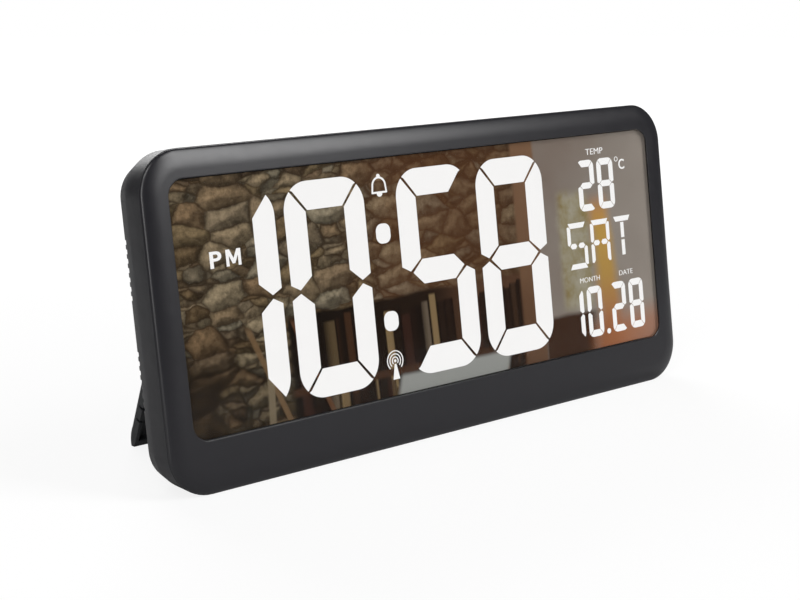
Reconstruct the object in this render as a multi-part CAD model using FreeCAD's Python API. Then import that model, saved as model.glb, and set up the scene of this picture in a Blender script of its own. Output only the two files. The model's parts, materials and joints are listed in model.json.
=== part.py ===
import FreeCAD, Part

import math
import os

from FreeCAD import Vector

# Large-digit day clock with a mirror-finish display, on two flip-out legs.
# Millimetres. The model is built upright in the case's own frame: X to the right as the clock is read,
# Y to the back, Z up. Y is 0 on the parting plane between bezel and rear cover, and Z is 0 at the case's
# lower edge there. At the end everything leans back on its underside and legs, and the origin is put on
# the table, under the middle of the whole clock, with +Z up.

# ---- case ----------------------------------------------------------------------------------------
CASE_WIDTH = 372.0
CASE_HEIGHT = 170.0
CORNER_RADIUS = 23.0
LEAN_DEG = 8.2
WALL = 2.2
SIDE_DEPTH = 13.0
BEVEL_INSET = 5.2
BOTTOM_BEVEL_RISE = 3.0
SIDE_DRAFT = 0.5
PARTING_STEP = 0.3

# ---- bezel and window ----------------------------------------------------------------------------
SIDE_BAND = 14.5
TOP_BAND = 14.8
BOTTOM_BAND = 27.0
WINDOW_RADIUS = 9.0
CROWN_HEIGHT = 2.9
CROWN_REACH = 10.5
CROWN_STEPS = 7
BEZEL_SKIN = 1.4
LIP_THICKNESS = 0.9
LIP_COVER = 2.0
TONGUE_DEPTH = 3.0
TONGUE_WALL = 1.2
MOULD_GAP = 0.2
SNAP_CATCH = 0.6
SNAP_WIDTH = 10.0
SNAP_SPACING = 104.0
SNAP_COUNT = 4

# ---- display stack, from the window back ---------------------------------------------------------
SHEET_THICKNESS = 1.5
TAPE_THICKNESS = 0.2
LIT_GAP = 0.2
FILM_THICKNESS = 0.2
SEGMENT_THICKNESS = 0.15
GLASS_THICKNESS = 1.1
POLARISER_THICKNESS = 0.2
DIFFUSER_THICKNESS = 0.4
GUIDE_THICKNESS = 3.2
REFLECTOR_THICKNESS = 0.3
CARRIER_PLATE = 1.7
CARRIER_RIM = 1.6
CARRIER_TAB = 2.4
CARRIER_TAB_X = 128.0
CONTACT_WALL = 1.5
ZEBRA_WIDTH = 2.0
ZEBRA_END = 8.0
LED_COUNT = 8
LED_SIZE = 2.4
LED_HEIGHT = 1.6
LED_END = 4.0
STRIP_THICKNESS = 1.0

# ---- lit layout: large figures on the left, a column of three rows on the right ------------------
LEFT_MARGIN = 10.0
DIGIT_SPACE = 6.1
COLON_SPACE = 22.2
COLUMN_SPACE = 17.4
COLUMN_WIDTH = 56.1
RIGHT_MARGIN = 16.3
DIGIT_MARGIN = 8.0
BAR_SHARE = 0.26
END_BAR_SHARE = 0.1355
MIDDLE_BAR_SHARE = 0.12
GAP_SHARE = 0.0105
DIGIT_CORNER_SHARE = 0.29
COLON_WIDTH = 9.8
COLON_HEIGHT = 10.6
COLON_RADIUS = 4.0
COLON_SPREAD = 47.1
BELL_DROP = 15.1
BELL_RADIUS = 4.4
BELL_PEN = 1.0
MAST_RISE = 19.0
MAST_HEIGHT = 10.0
MAST_RINGS = 3
MAST_RING_PITCH = 1.68
ROW_TOP_SPACE = 15.0
ROW_UPPER_GAP = 5.9
ROW_LOWER_GAP = 11.8
ROW_LOW_SPACE = 7.7
LETTER_DROP = 2.8
TEMPERATURE_WIDTH = 14.0
TEMPERATURE_SPACE = 2.8
DATE_WIDTH = 12.7
DATE_SPACE = 3.2
DATE_DOT_SPACE = 8.4
DATE_SHIFT = 1.3
DOT_RADIUS = 1.6
LETTER_SPACE = 3.4
LETTER_BAR = 3.1
LETTER_POST = 2.7
LETTER_GAP = 0.7
HOUR_LABEL_HEIGHT = 7.0
TITLE_HEIGHT = 2.9
SUBTITLE_HEIGHT = 2.4
UNIT_HEIGHT = 5.2
PEN_SHARE = 0.22
WORD_STRETCH = 1.23
WORD_GAP = 2.2

# ---- legs ----------------------------------------------------------------------------------------
LEG_PIN_DROP = 28.7
LEG_OPEN_DEG = 28.0
LEG_THICKNESS = 5.5
LEG_SKIN = 2.0
LEG_FLANGE = 2.2
LEG_TOP_WIDTH = 24.0
LEG_FOOT_WIDTH = 34.0
LEG_INSET = 50.8
LEG_BARREL_RADIUS = 3.3
LEG_PIN_RADIUS = 1.5
LEG_PIN_PLAY = 0.06
LEG_FOOT_LAND = 3.0
LEG_HEEL_HEIGHT = 10.0
LEG_STOP_GAP = 0.05
LEG_SIDE_PLAY = 0.8
LEG_RIB = 1.6
LEG_RIB_SINK = 1.2
LEG_RIB_PITCH = 36.0
LEG_NOTCH = 1.2
LEG_NOTCH_PITCH = 8.0
LEG_NOTCH_RISE = 20.0
POCKET_WALL = 2.0
PIN_SEAT = 3.0
PIN_SEAT_WALL = 2.1

# ---- battery bay ---------------------------------------------------------------------------------
CELL_RADIUS = 7.1
CELL_LENGTH = 50.0
CELL_COUNT = 3
CELL_SPACE = 1.4
NUB_RADIUS = 2.7
NUB_HEIGHT = 1.0
BAY_WALL = 1.6
BAY_Z = 96.0
BAY_BOARD_GAP = 1.3
CELL_DOOR_GAP = 0.2
CONTACT_SPACE = 5.0
CONTACT_SHEET = 0.5
CONTACT_SIZE = 10.0
SPRING_RADIUS = 4.6
SPRING_TIP_RADIUS = 3.0
SPRING_TURNS = 4
SPRING_WIRE = 0.35
DOOR_THICKNESS = 1.6
DOOR_MARGIN = 3.0
DOOR_PLAY = 0.3
DOOR_GRIP_WIDTH = 18.0
DOOR_GRIP_PITCH = 2.2
DOOR_GRIP_COUNT = 5
DOOR_GRIP_DEPTH = 0.6

# ---- keys, switch and inlet ----------------------------------------------------------------------
KEY_NAMES = ("mode_button", "set_button", "up_button", "down_button", "alarm_button", "light_button")
KEY_PITCH = 13.5
KEY_WIDTH = 8.0
KEY_HEIGHT = 5.0
KEY_BOARD_SPACE = 8.4
KEY_Z = 44.0
KEY_PROUD = 1.2
KEY_TRAVEL = 0.8
KEY_PLAY = 0.25
KEY_FLANGE = 1.0
KEY_STOP_GAP = 0.05
KEY_BOARD_EDGE = 7.0
SWITCH_BODY = 6.0
SWITCH_BODY_HEIGHT = 2.2
STEM_RADIUS = 1.6
STEM_PLAY = 0.2
STEM_ENTRY = 0.4
SLIDER_SPACE = 32.0
SLIDER_Z = 27.0
SLIDER_TRAVEL = 3.0
SLIDER_WIDTH = 3.2
SLIDER_HEIGHT = 4.0
SLIDER_PROUD = 0.4
SLIDER_PLAY = 0.1
HOUSING_END = 0.8
HOUSING_SIDE = 0.5
INLET_INSET = 10.0
INLET_WIDTH = 8.9
INLET_HEIGHT = 3.2
INLET_SHELL = 0.3
INLET_TONGUE = 0.7

# ---- back plane: hooks, holes and vents ----------------------------------------------------------
HOOK_SPACING = 180.0
HOOK_DROP = 34.0
HOOK_HEAD_RADIUS = 4.5
HOOK_NECK_WIDTH = 4.4
HOOK_RISE = 9.0
VENT_COUNT = 7
VENT_PITCH = 4.6
VENT_WIDTH = 2.2
VENT_LENGTH = 15.0
VENT_DEPTH = 2.3
VENT_GROUP_SPACING = 55.4
SOUND_X = -62.0
SOUND_Z = 40.0
SOUND_HOLE_RADIUS = 0.9
SOUND_HOLE_PITCH = 3.6
SOUND_HOLE_RINGS = 2

# ---- screws --------------------------------------------------------------------------------------
SCREW_RADIUS = 1.45
SCREW_HEAD_RADIUS = 2.9
SCREW_HEAD_HEIGHT = 2.0
BOSS_WALL = 2.1
POST_WALL = 1.5
POST_FLOOR = 3.0
POST_MEET_GAP = 0.1
SCREW_INSET = 28.0
INNER_SCREW_X = 56.0
SMALL_SCREW_RADIUS = 0.95
SMALL_HEAD_RADIUS = 1.9
SMALL_HEAD_HEIGHT = 1.3
SMALL_BOSS_WALL = 1.4
SCREW_PLAY = 0.25
HEAD_PLAY = 0.5
PILOT_PLAY = 0.05
SCREW_BITE = 4.0

# ---- boards and inner pieces ---------------------------------------------------------------------
BOARD_THICKNESS = 1.6
MAIN_BOARD_WIDTH = 236.0
MAIN_BOARD_HEIGHT = 38.0
BOARD_SCREW_END = 9.4
BOARD_SCREW_X = 47.0
BOARD_EDGE_GAP = 1.0
CLIP_SPACING = 142.0
CLIP_WIDTH = 6.0
CLIP_LIP = 1.3
CHIP_SIZE = 14.0
CHIP_HEIGHT = 1.6
CHIP_PITCH = 24.0
DRIVER_INSET = 58.0
CLOCK_CHIP_X = 12.0
CRYSTAL_SPACE = 14.4
CAPACITOR_INSET = 34.0
CAPACITOR_SPACE = 33.6
CAPACITOR_PITCH = 7.2
CHIP_Z = 22.0
CRYSTAL_RADIUS = 1.0
CRYSTAL_LENGTH = 6.0
CAPACITOR_RADIUS = 2.5
CAPACITOR_HEIGHT = 5.0
ROD_OUTER_GAP = 11.4
ROD_INNER_GAP = 11.0
RECEIVER_Z = 96.0
RECEIVER_DROP = 16.0
RECEIVER_WIDTH = 26.0
RECEIVER_HEIGHT = 14.0
RECEIVER_POST = 6.0
RECEIVER_BOARD = 1.0
ROD_RADIUS = 4.0
CRADLE_WIDTH = 4.0
COIL_WINDING = 1.2
COIL_LENGTH = 22.0
SOUND_DISC_RADIUS = 10.0
SOUND_DISC_HEIGHT = 4.5
SOUND_COLLAR = 1.4
SENSOR_RADIUS = 1.55
SENSOR_LENGTH = 6.0
SENSOR_LEAD_RADIUS = 0.3
SENSOR_INSET = 23.0

# ---- worked out from the sizes above -------------------------------------------------------------
HALF_WIDTH = CASE_WIDTH / 2
WINDOW_WIDTH = CASE_WIDTH - 2 * SIDE_BAND
WINDOW_HEIGHT = CASE_HEIGHT - TOP_BAND - BOTTOM_BAND
WINDOW_Z = BOTTOM_BAND + WINDOW_HEIGHT / 2
LIP_Y = -CROWN_HEIGHT
BEZEL_FLOOR_Y = LIP_Y + BEZEL_SKIN
TONGUE_INSET = WALL + MOULD_GAP
BEZEL_RIM = TONGUE_INSET + TONGUE_WALL
SHEET_Y = LIP_Y + LIP_THICKNESS + TAPE_THICKNESS
SHEET_BACK_Y = SHEET_Y + SHEET_THICKNESS
FILM_Y = SHEET_BACK_Y + LIT_GAP
GLASS_Y = FILM_Y + FILM_THICKNESS
REAR_GLASS_Y = GLASS_Y + GLASS_THICKNESS
POLARISER_Y = REAR_GLASS_Y + GLASS_THICKNESS
DIFFUSER_Y = POLARISER_Y + POLARISER_THICKNESS
GUIDE_Y = DIFFUSER_Y + DIFFUSER_THICKNESS
REFLECTOR_Y = GUIDE_Y + GUIDE_THICKNESS
PLATE_Y = REFLECTOR_Y + REFLECTOR_THICKNESS
BOARD_Y = PLATE_Y + CARRIER_PLATE
BOARD_BACK_Y = BOARD_Y + BOARD_THICKNESS
BAY_FLOOR_Y = BOARD_Y + BAY_BOARD_GAP + BAY_WALL
CELL_Y = BAY_FLOOR_Y + CELL_RADIUS
LEDGE_Y = CELL_Y + CELL_RADIUS + CELL_DOOR_GAP
BACK_Y = LEDGE_Y + DOOR_THICKNESS
BACK_INNER_Y = BACK_Y - WALL
BEVEL_DEPTH = BACK_Y - SIDE_DEPTH
UNDERSIDE_RISE = SIDE_DEPTH * math.tan(math.radians(LEAN_DEG))
BACK_LOW_Z = UNDERSIDE_RISE + BOTTOM_BEVEL_RISE
SHEET_HALF_W = WINDOW_WIDTH / 2 + LIP_COVER
SHEET_HALF_H = WINDOW_HEIGHT / 2 + LIP_COVER
STACK_HALF_W = SHEET_HALF_W - MOULD_GAP
STACK_HALF_H = SHEET_HALF_H - MOULD_GAP
STACK_TOP_Z = WINDOW_Z + STACK_HALF_H
STACK_LOW_Z = WINDOW_Z - STACK_HALF_H
ZEBRA_Z = STACK_LOW_Z + CONTACT_WALL + ZEBRA_WIDTH / 2
WELL_HALF_W = STACK_HALF_W - CARRIER_RIM
WELL_TOP_Z = STACK_TOP_Z - CARRIER_RIM
WELL_LOW_Z = STACK_LOW_Z + 2 * CONTACT_WALL + ZEBRA_WIDTH
LED_X = WELL_HALF_W - STRIP_THICKNESS - LED_HEIGHT
BOSS_RADIUS = SCREW_RADIUS + BOSS_WALL
WELL_RADIUS = SCREW_HEAD_RADIUS + HEAD_PLAY
POST_RADIUS = WELL_RADIUS + POST_WALL
SMALL_BOSS_RADIUS = SMALL_SCREW_RADIUS + SMALL_BOSS_WALL
BOARD_LOW_Z = STACK_LOW_Z - 2 * SMALL_BOSS_RADIUS - BOARD_EDGE_GAP
BOARD_SCREW_Z = BOARD_LOW_Z + SMALL_BOSS_RADIUS + SCREW_PLAY
CASE_SCREW_Z = BOARD_LOW_Z - POST_RADIUS - BOARD_EDGE_GAP
CASE_SCREW_X = (SCREW_INSET - HALF_WIDTH, -INNER_SCREW_X, INNER_SCREW_X, HALF_WIDTH - SCREW_INSET)
LEG_CENTRE_X = HALF_WIDTH - LEG_INSET
LEG_PIN_Y = BACK_Y - LEG_THICKNESS
LEG_PIN_Z = CASE_HEIGHT - LEG_PIN_DROP
POCKET_HALF_W = LEG_FOOT_WIDTH / 2 + LEG_SIDE_PLAY
POCKET_RISE = LEG_BARREL_RADIUS + LEG_SIDE_PLAY
POCKET_INNER_X = LEG_CENTRE_X - POCKET_HALF_W - POCKET_WALL
KEY_END_X = POCKET_INNER_X - KEY_BOARD_SPACE - KEY_BOARD_EDGE
INLET_X = KEY_END_X - INLET_INSET
SLIDER_X = INLET_X - SLIDER_SPACE
BAY_HALF_W = CELL_LENGTH / 2 + CONTACT_SPACE
CELL_PITCH = 2 * CELL_RADIUS + CELL_SPACE
BAY_HALF_H = CELL_COUNT * CELL_PITCH / 2
DOOR_HALF_W = BAY_HALF_W + DOOR_MARGIN
DOOR_HALF_H = BAY_HALF_H + DOOR_MARGIN
KEY_FLANGE_Y = BACK_INNER_Y - KEY_FLANGE
SWITCH_TOP_Y = KEY_FLANGE_Y - KEY_TRAVEL - KEY_STOP_GAP
KEY_BOARD_BACK_Y = SWITCH_TOP_Y - SWITCH_BODY_HEIGHT
KEY_BOARD_Y = KEY_BOARD_BACK_Y - BOARD_THICKNESS
HOOK_Z = CASE_HEIGHT - HOOK_DROP
ROD_LENGTH = POCKET_INNER_X - ROD_OUTER_GAP - DOOR_HALF_W - ROD_INNER_GAP
RECEIVER_X = ROD_OUTER_GAP + ROD_LENGTH / 2 - POCKET_INNER_X
COIL_RADIUS = ROD_RADIUS + COIL_WINDING
ROD_Y = BACK_INNER_Y - COIL_RADIUS - WALL / 2
RECEIVER_Y = BACK_INNER_Y - RECEIVER_POST
DIGIT_SPARE = LEFT_MARGIN + 2 * DIGIT_SPACE + COLON_SPACE + COLUMN_SPACE + COLUMN_WIDTH + RIGHT_MARGIN
DIGIT_WIDTH = (WINDOW_WIDTH - DIGIT_SPARE) / 4
DIGIT_HEIGHT = WINDOW_HEIGHT - 2 * DIGIT_MARGIN
DIGIT_PITCH = DIGIT_WIDTH + DIGIT_SPACE
HOUR_X = LEFT_MARGIN - WINDOW_WIDTH / 2 + DIGIT_WIDTH / 2
COLON_X = HOUR_X + DIGIT_PITCH + DIGIT_WIDTH / 2 + COLON_SPACE / 2
MINUTE_X = COLON_X + COLON_SPACE / 2 + DIGIT_WIDTH / 2
COLUMN_X = WINDOW_WIDTH / 2 - RIGHT_MARGIN - COLUMN_WIDTH / 2
LETTER_WIDTH = (COLUMN_WIDTH - 2 * LETTER_SPACE) / 3
ROW_SPARE = ROW_TOP_SPACE + ROW_UPPER_GAP + ROW_LOWER_GAP + ROW_LOW_SPACE
SMALL_DIGIT_HEIGHT = (WINDOW_HEIGHT - ROW_SPARE + LETTER_DROP) / 3
LETTER_HEIGHT = SMALL_DIGIT_HEIGHT - LETTER_DROP
TEMPERATURE_Z = WINDOW_HEIGHT / 2 - ROW_TOP_SPACE - SMALL_DIGIT_HEIGHT / 2
DATE_Z = ROW_LOW_SPACE + SMALL_DIGIT_HEIGHT / 2 - WINDOW_HEIGHT / 2
WEEKDAY_Z = TEMPERATURE_Z - SMALL_DIGIT_HEIGHT / 2 - ROW_UPPER_GAP - LETTER_HEIGHT / 2
BELL_Z = WINDOW_HEIGHT / 2 - BELL_DROP
MAST_Z = MAST_RISE - WINDOW_HEIGHT / 2
LIT_Y = FILM_Y - SEGMENT_THICKNESS
EPS = 0.5


# ---- helpers -------------------------------------------------------------------------------------
def box(x0, x1, y0, y1, z0, z1):
    """A block between two corners."""
    return Part.makeBox(x1 - x0, y1 - y0, z1 - z0, Vector(x0, y0, z0))


def block_at(x, z, width, height, y0, y1):
    """A block centred on x and z, from depth y0 to y1."""
    return box(x - width / 2, x + width / 2, y0, y1, z - height / 2, z + height / 2)


def rod_y(x, z, y0, y1, radius):
    """A round rod along Y."""
    return Part.makeCylinder(radius, y1 - y0, Vector(x, y0, z), Vector(0, 1, 0))


def rod_x(x0, x1, y, z, radius):
    """A round rod along X."""
    return Part.makeCylinder(radius, x1 - x0, Vector(x0, y, z), Vector(1, 0, 0))


def rod_z(x, y, z0, z1, radius):
    """A round rod along Z."""
    return Part.makeCylinder(radius, z1 - z0, Vector(x, y, z0), Vector(0, 0, 1))


def rounded_wire(x0, x1, z0, z1, radius, y):
    """A rectangle with round corners, in the plane at depth y."""
    r = min(radius, (x1 - x0) / 2 - 0.01, (z1 - z0) / 2 - 0.01)
    k = r * (1 - math.sqrt(0.5))
    corners = (
        (x1, z1, -1, -1, (x1, z1 - r), (x1 - r, z1)),
        (x0, z1, 1, -1, (x0 + r, z1), (x0, z1 - r)),
        (x0, z0, 1, 1, (x0, z0 + r), (x0 + r, z0)),
        (x1, z0, -1, 1, (x1 - r, z0), (x1, z0 + r)),
    )
    edges = []
    for i, (cx, cz, sx, sz, start, end) in enumerate(corners):
        middle = Vector(cx + sx * k, y, cz + sz * k)
        arc = Part.Arc(Vector(start[0], y, start[1]), middle, Vector(end[0], y, end[1]))
        edges.append(arc.toShape())
        following = corners[(i + 1) % 4][4]
        edges.append(Part.makeLine(Vector(end[0], y, end[1]), Vector(following[0], y, following[1])))
    return Part.Wire(edges)


def rounded_slab(x0, x1, z0, z1, radius, y0, y1):
    """A plate with round corners, from depth y0 to y1."""
    return Part.Face(rounded_wire(x0, x1, z0, z1, radius, y0)).extrude(Vector(0, y1 - y0, 0))


def pill(x, z, width, height, y0, y1):
    """A plate with half-round ends, centred on x and z."""
    w, h = width / 2, height / 2
    return rounded_slab(x - w, x + w, z - h, z + h, min(w, h), y0, y1)


def window_slab(half_w, half_h, radius, y0, y1):
    """A plate centred on the window."""
    return rounded_slab(-half_w, half_w, WINDOW_Z - half_h, WINDOW_Z + half_h, radius, y0, y1)


def polygon_slab(points, y0, y1):
    """A plate whose outline is a polygon of (x, z) points."""
    corners = [Vector(x, y0, z) for x, z in points]
    return Part.Face(Part.makePolygon(corners + corners[:1])).extrude(Vector(0, y1 - y0, 0))


def ring_slab(x, z, outer, inner, y0, y1):
    """A flat ring."""
    return rod_y(x, z, y0, y1, outer).cut(rod_y(x, z, y0 - EPS, y1 + EPS, inner))


def fuse(shapes):
    """One solid out of touching or overlapping ones."""
    first, rest = shapes[0], shapes[1:]
    return first.fuse(rest).removeSplitter() if rest else first


def group(shapes):
    """Several separate solids that share a node."""
    return Part.makeCompound(shapes)


def mirrored(shape):
    """The same shape on the other side of the clock."""
    return shape.mirror(Vector(0, 0, 0), Vector(1, 0, 0))


def both_sides(shapes):
    """Each shape and its mirror image."""
    return list(shapes) + [mirrored(s) for s in shapes]


def spread(count, pitch):
    """Places at an even pitch, centred on zero."""
    return [(i - (count - 1) / 2) * pitch for i in range(count)]


# ---- rear cover ----------------------------------------------------------------------------------
def case_wire(y, inset, low_z, top_drop):
    """The case's outline at a depth, moved in by inset at the sides and top_drop at the top."""
    half = HALF_WIDTH - inset
    return rounded_wire(-half, half, low_z, CASE_HEIGHT - top_drop, CORNER_RADIUS - inset, y)


def cover_sections(wall):
    """The rear cover's outer skin (wall 0) or its inner skin, as three outlines."""
    bevel = math.atan(BEVEL_INSET / BEVEL_DEPTH)
    low_bevel = math.atan(BOTTOM_BEVEL_RISE / BEVEL_DEPTH)
    crease_y = SIDE_DEPTH - wall * math.tan(bevel / 2)
    end_inset = SIDE_DRAFT + BEVEL_INSET - wall * math.tan(bevel) + wall / math.cos(bevel)
    end_rise = BACK_LOW_Z - wall * math.tan(low_bevel) + wall / math.cos(low_bevel)
    return [
        case_wire(0, wall, wall, wall),
        case_wire(crease_y, SIDE_DRAFT + wall, UNDERSIDE_RISE + wall, SIDE_DRAFT + wall),
        case_wire(BACK_Y - wall, end_inset, end_rise, end_inset),
    ]


def cover_skin():
    """The outer form of the rear cover, solid."""
    return Part.makeLoft(cover_sections(0.0), True, True)


def cover_hollow():
    """The inner form of the rear cover, open towards the bezel."""
    mouth = case_wire(-EPS, WALL, WALL, WALL)
    return Part.makeLoft([mouth] + cover_sections(WALL)[1:], True, True)


def leg_pocket(extra):
    """The space that a leg folds into, grown by extra on its walls."""
    half = POCKET_HALF_W + extra
    front_y = LEG_PIN_Y - LEG_SIDE_PLAY - extra
    barrel_y = LEG_PIN_Y - POCKET_RISE - extra
    top_z = LEG_PIN_Z + POCKET_RISE + extra
    low_z = LEG_PIN_Z - POCKET_RISE - LEG_SIDE_PLAY - extra
    far_y = BACK_Y + LEG_THICKNESS
    x0, x1 = LEG_CENTRE_X - half, LEG_CENTRE_X + half
    shallow = box(x0, x1, front_y, far_y, -WALL, top_z)
    return shallow.fuse(box(x0, x1, barrel_y, far_y, low_z, top_z))


def pin_span():
    """The leg pin's two ends along X: it runs from one pocket wall to the other."""
    half = POCKET_HALF_W + PIN_SEAT
    return LEG_CENTRE_X - half, LEG_CENTRE_X + half


def pin_seats():
    """Thick places on the pocket's walls that hold the leg pin's ends."""
    x0, x1 = pin_span()
    half = LEG_PIN_RADIUS + PIN_SEAT_WALL
    y0, y1, z0, z1 = LEG_PIN_Y - half, BACK_Y - WALL / 2, LEG_PIN_Z - half, LEG_PIN_Z + half
    return [box(x0 - EPS, x0 + PIN_SEAT, y0, y1, z0, z1), box(x1 - PIN_SEAT, x1 + EPS, y0, y1, z0, z1)]


def keyhole(x):
    """A hanging hole: a round entry for a wall screw's head and a slot above it for its neck."""
    y0, y1 = BACK_INNER_Y - EPS, BACK_Y + EPS
    entry = rod_y(x, HOOK_Z, y0, y1, HOOK_HEAD_RADIUS)
    half = HOOK_NECK_WIDTH / 2
    neck = box(x - half, x + half, y0, y1, HOOK_Z, HOOK_Z + HOOK_RISE)
    return entry.fuse([neck, rod_y(x, HOOK_Z + HOOK_RISE, y0, y1, half)])


def vent_slots():
    """The slots through the rear edge at one end of the case, in two groups."""
    x0 = HALF_WIDTH - SIDE_DRAFT - BEVEL_INSET - VENT_LENGTH
    slots = []
    for group_z in spread(2, VENT_GROUP_SPACING):
        for slot_z in spread(VENT_COUNT, VENT_PITCH):
            z = CASE_HEIGHT / 2 + group_z + slot_z
            z0, z1 = z - VENT_WIDTH / 2, z + VENT_WIDTH / 2
            slots.append(box(x0, HALF_WIDTH, BACK_Y - VENT_DEPTH, BACK_Y + EPS, z0, z1))
    return slots


def sound_holes():
    """A hexagonal cluster of small holes in front of the sounder."""
    holes = []
    for row in range(-SOUND_HOLE_RINGS, SOUND_HOLE_RINGS + 1):
        for dx in spread(2 * SOUND_HOLE_RINGS + 1 - abs(row), SOUND_HOLE_PITCH):
            z = SOUND_Z + row * SOUND_HOLE_PITCH * math.sqrt(0.75)
            holes.append(rod_y(SOUND_X + dx, z, BACK_INNER_Y - EPS, BACK_Y + EPS, SOUND_HOLE_RADIUS))
    return holes


def key_x(index):
    """Where a push button's centre is along X."""
    return KEY_END_X - (len(KEY_NAMES) - 1 - index) * KEY_PITCH


def key_openings():
    """The holes in the back for the push buttons, the slider and the power inlet."""
    y0, y1 = BACK_INNER_Y - EPS, BACK_Y + EPS
    holes = []
    for i in range(len(KEY_NAMES)):
        holes.append(pill(key_x(i), KEY_Z, KEY_WIDTH + 2 * KEY_PLAY, KEY_HEIGHT + 2 * KEY_PLAY, y0, y1))
    slot_width = SLIDER_WIDTH + SLIDER_TRAVEL + 2 * KEY_PLAY
    holes.append(block_at(SLIDER_X, SLIDER_Z, slot_width, SLIDER_HEIGHT + 2 * KEY_PLAY, y0, y1))
    holes.append(pill(INLET_X, SLIDER_Z, INLET_WIDTH + 2 * MOULD_GAP, INLET_HEIGHT + 2 * MOULD_GAP, y0, y1))
    return holes


def key_board_limits():
    """The key board's outline: x0, x1, z0, z1."""
    z0 = SLIDER_Z - SLIDER_HEIGHT / 2 - 2 * SMALL_BOSS_RADIUS
    return key_x(0) - KEY_BOARD_EDGE, KEY_END_X + KEY_BOARD_EDGE, z0, KEY_Z + KEY_BOARD_EDGE


def key_board_posts():
    """Where the key board is screwed to the back, as (x, z)."""
    x0, x1, z0, z1 = key_board_limits()
    edge = SMALL_BOSS_RADIUS + SCREW_PLAY
    low_z, mid_z = z0 + edge, (KEY_Z + SLIDER_Z) / 2
    return ((x0 + edge, mid_z), ((SLIDER_X + INLET_X) / 2, low_z), (x1 - edge, mid_z))


def receiver_posts():
    """Where the receiver board is screwed to the back, as (x, z)."""
    offset = RECEIVER_WIDTH / 2 - SMALL_BOSS_RADIUS - SCREW_PLAY
    return [(RECEIVER_X + side * offset, RECEIVER_Z - RECEIVER_DROP) for side in (-1, 1)]


def rod_cradles():
    """Two cradles on the back that the ferrite rod lies in."""
    cradles = []
    height = 2 * ROD_RADIUS + CRADLE_WIDTH
    for side in (-1, 1):
        x = RECEIVER_X + side * (ROD_LENGTH / 2 - CRADLE_WIDTH)
        block = block_at(x, RECEIVER_Z, CRADLE_WIDTH, height, ROD_Y - ROD_RADIUS / 4, BACK_INNER_Y + EPS)
        cradles.append(block.cut(rod_x(x - CRADLE_WIDTH, x + CRADLE_WIDTH, ROD_Y, RECEIVER_Z, ROD_RADIUS)))
    return cradles


def sound_collar():
    """The collar that holds the sounder on the inside of the back."""
    y0 = BACK_INNER_Y - SOUND_DISC_HEIGHT
    inner = SOUND_DISC_RADIUS + PILOT_PLAY
    return ring_slab(SOUND_X, SOUND_Z, inner + SOUND_COLLAR, inner, y0, BACK_INNER_Y + MOULD_GAP)


def sensor_place():
    """The temperature sensor's centre, below the lower vents on the right."""
    vents_low = CASE_HEIGHT / 2 - VENT_GROUP_SPACING / 2 - VENT_COUNT * VENT_PITCH / 2
    return HALF_WIDTH - SENSOR_INSET, BACK_INNER_Y - 2 * SENSOR_RADIUS, vents_low - SENSOR_LENGTH


def sensor_cradle():
    """A small block on the back that the temperature sensor clips into."""
    x, y, z = sensor_place()
    half = SENSOR_LENGTH / 2
    block = block_at(x, z, 3.2 * SENSOR_RADIUS, SENSOR_LENGTH, y - SENSOR_RADIUS / 2, BACK_INNER_Y + EPS)
    return block.cut(rod_z(x, y, z - half - EPS, z + half + EPS, SENSOR_RADIUS + PILOT_PLAY))


def bay_block(grow, y0, y1):
    """A block over the battery bay, grown on its four sides."""
    return block_at(0, BAY_Z, 2 * (BAY_HALF_W + grow), 2 * (BAY_HALF_H + grow), y0, y1)


def cover_additions():
    """Everything that stands on the inside of the rear cover."""
    inside = both_sides([leg_pocket(POCKET_WALL).fuse(pin_seats())])
    inside.append(bay_block(BAY_WALL, BAY_FLOOR_Y - BAY_WALL, BACK_Y))
    inside.append(bay_block(DOOR_MARGIN + DOOR_PLAY + BAY_WALL, LEDGE_Y - BAY_WALL, BACK_Y))
    for x in CASE_SCREW_X:
        inside.append(rod_y(x, CASE_SCREW_Z, BOARD_Y - POST_FLOOR, BACK_Y, POST_RADIUS))
    for x, z in key_board_posts():
        inside.append(rod_y(x, z, KEY_BOARD_BACK_Y, BACK_Y - WALL / 2, SMALL_BOSS_RADIUS))
    for x, z in receiver_posts():
        inside.append(rod_y(x, z, RECEIVER_Y, BACK_Y - WALL / 2, SMALL_BOSS_RADIUS))
    return inside + rod_cradles() + [sound_collar(), sensor_cradle()]


def snap_boxes(play):
    """The four catches along the top edge, or with play the recesses they snap into."""
    top_z = CASE_HEIGHT - TONGUE_INSET
    boxes = []
    for x in spread(SNAP_COUNT, SNAP_SPACING / (SNAP_COUNT - 1) * 2):
        half = SNAP_WIDTH / 2 + play
        y0, y1 = TONGUE_DEPTH / 2 - play, TONGUE_DEPTH - MOULD_GAP + play
        boxes.append(box(x - half, x + half, y0, y1, top_z - TONGUE_WALL, top_z + SNAP_CATCH + play / 2))
    return boxes


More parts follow.
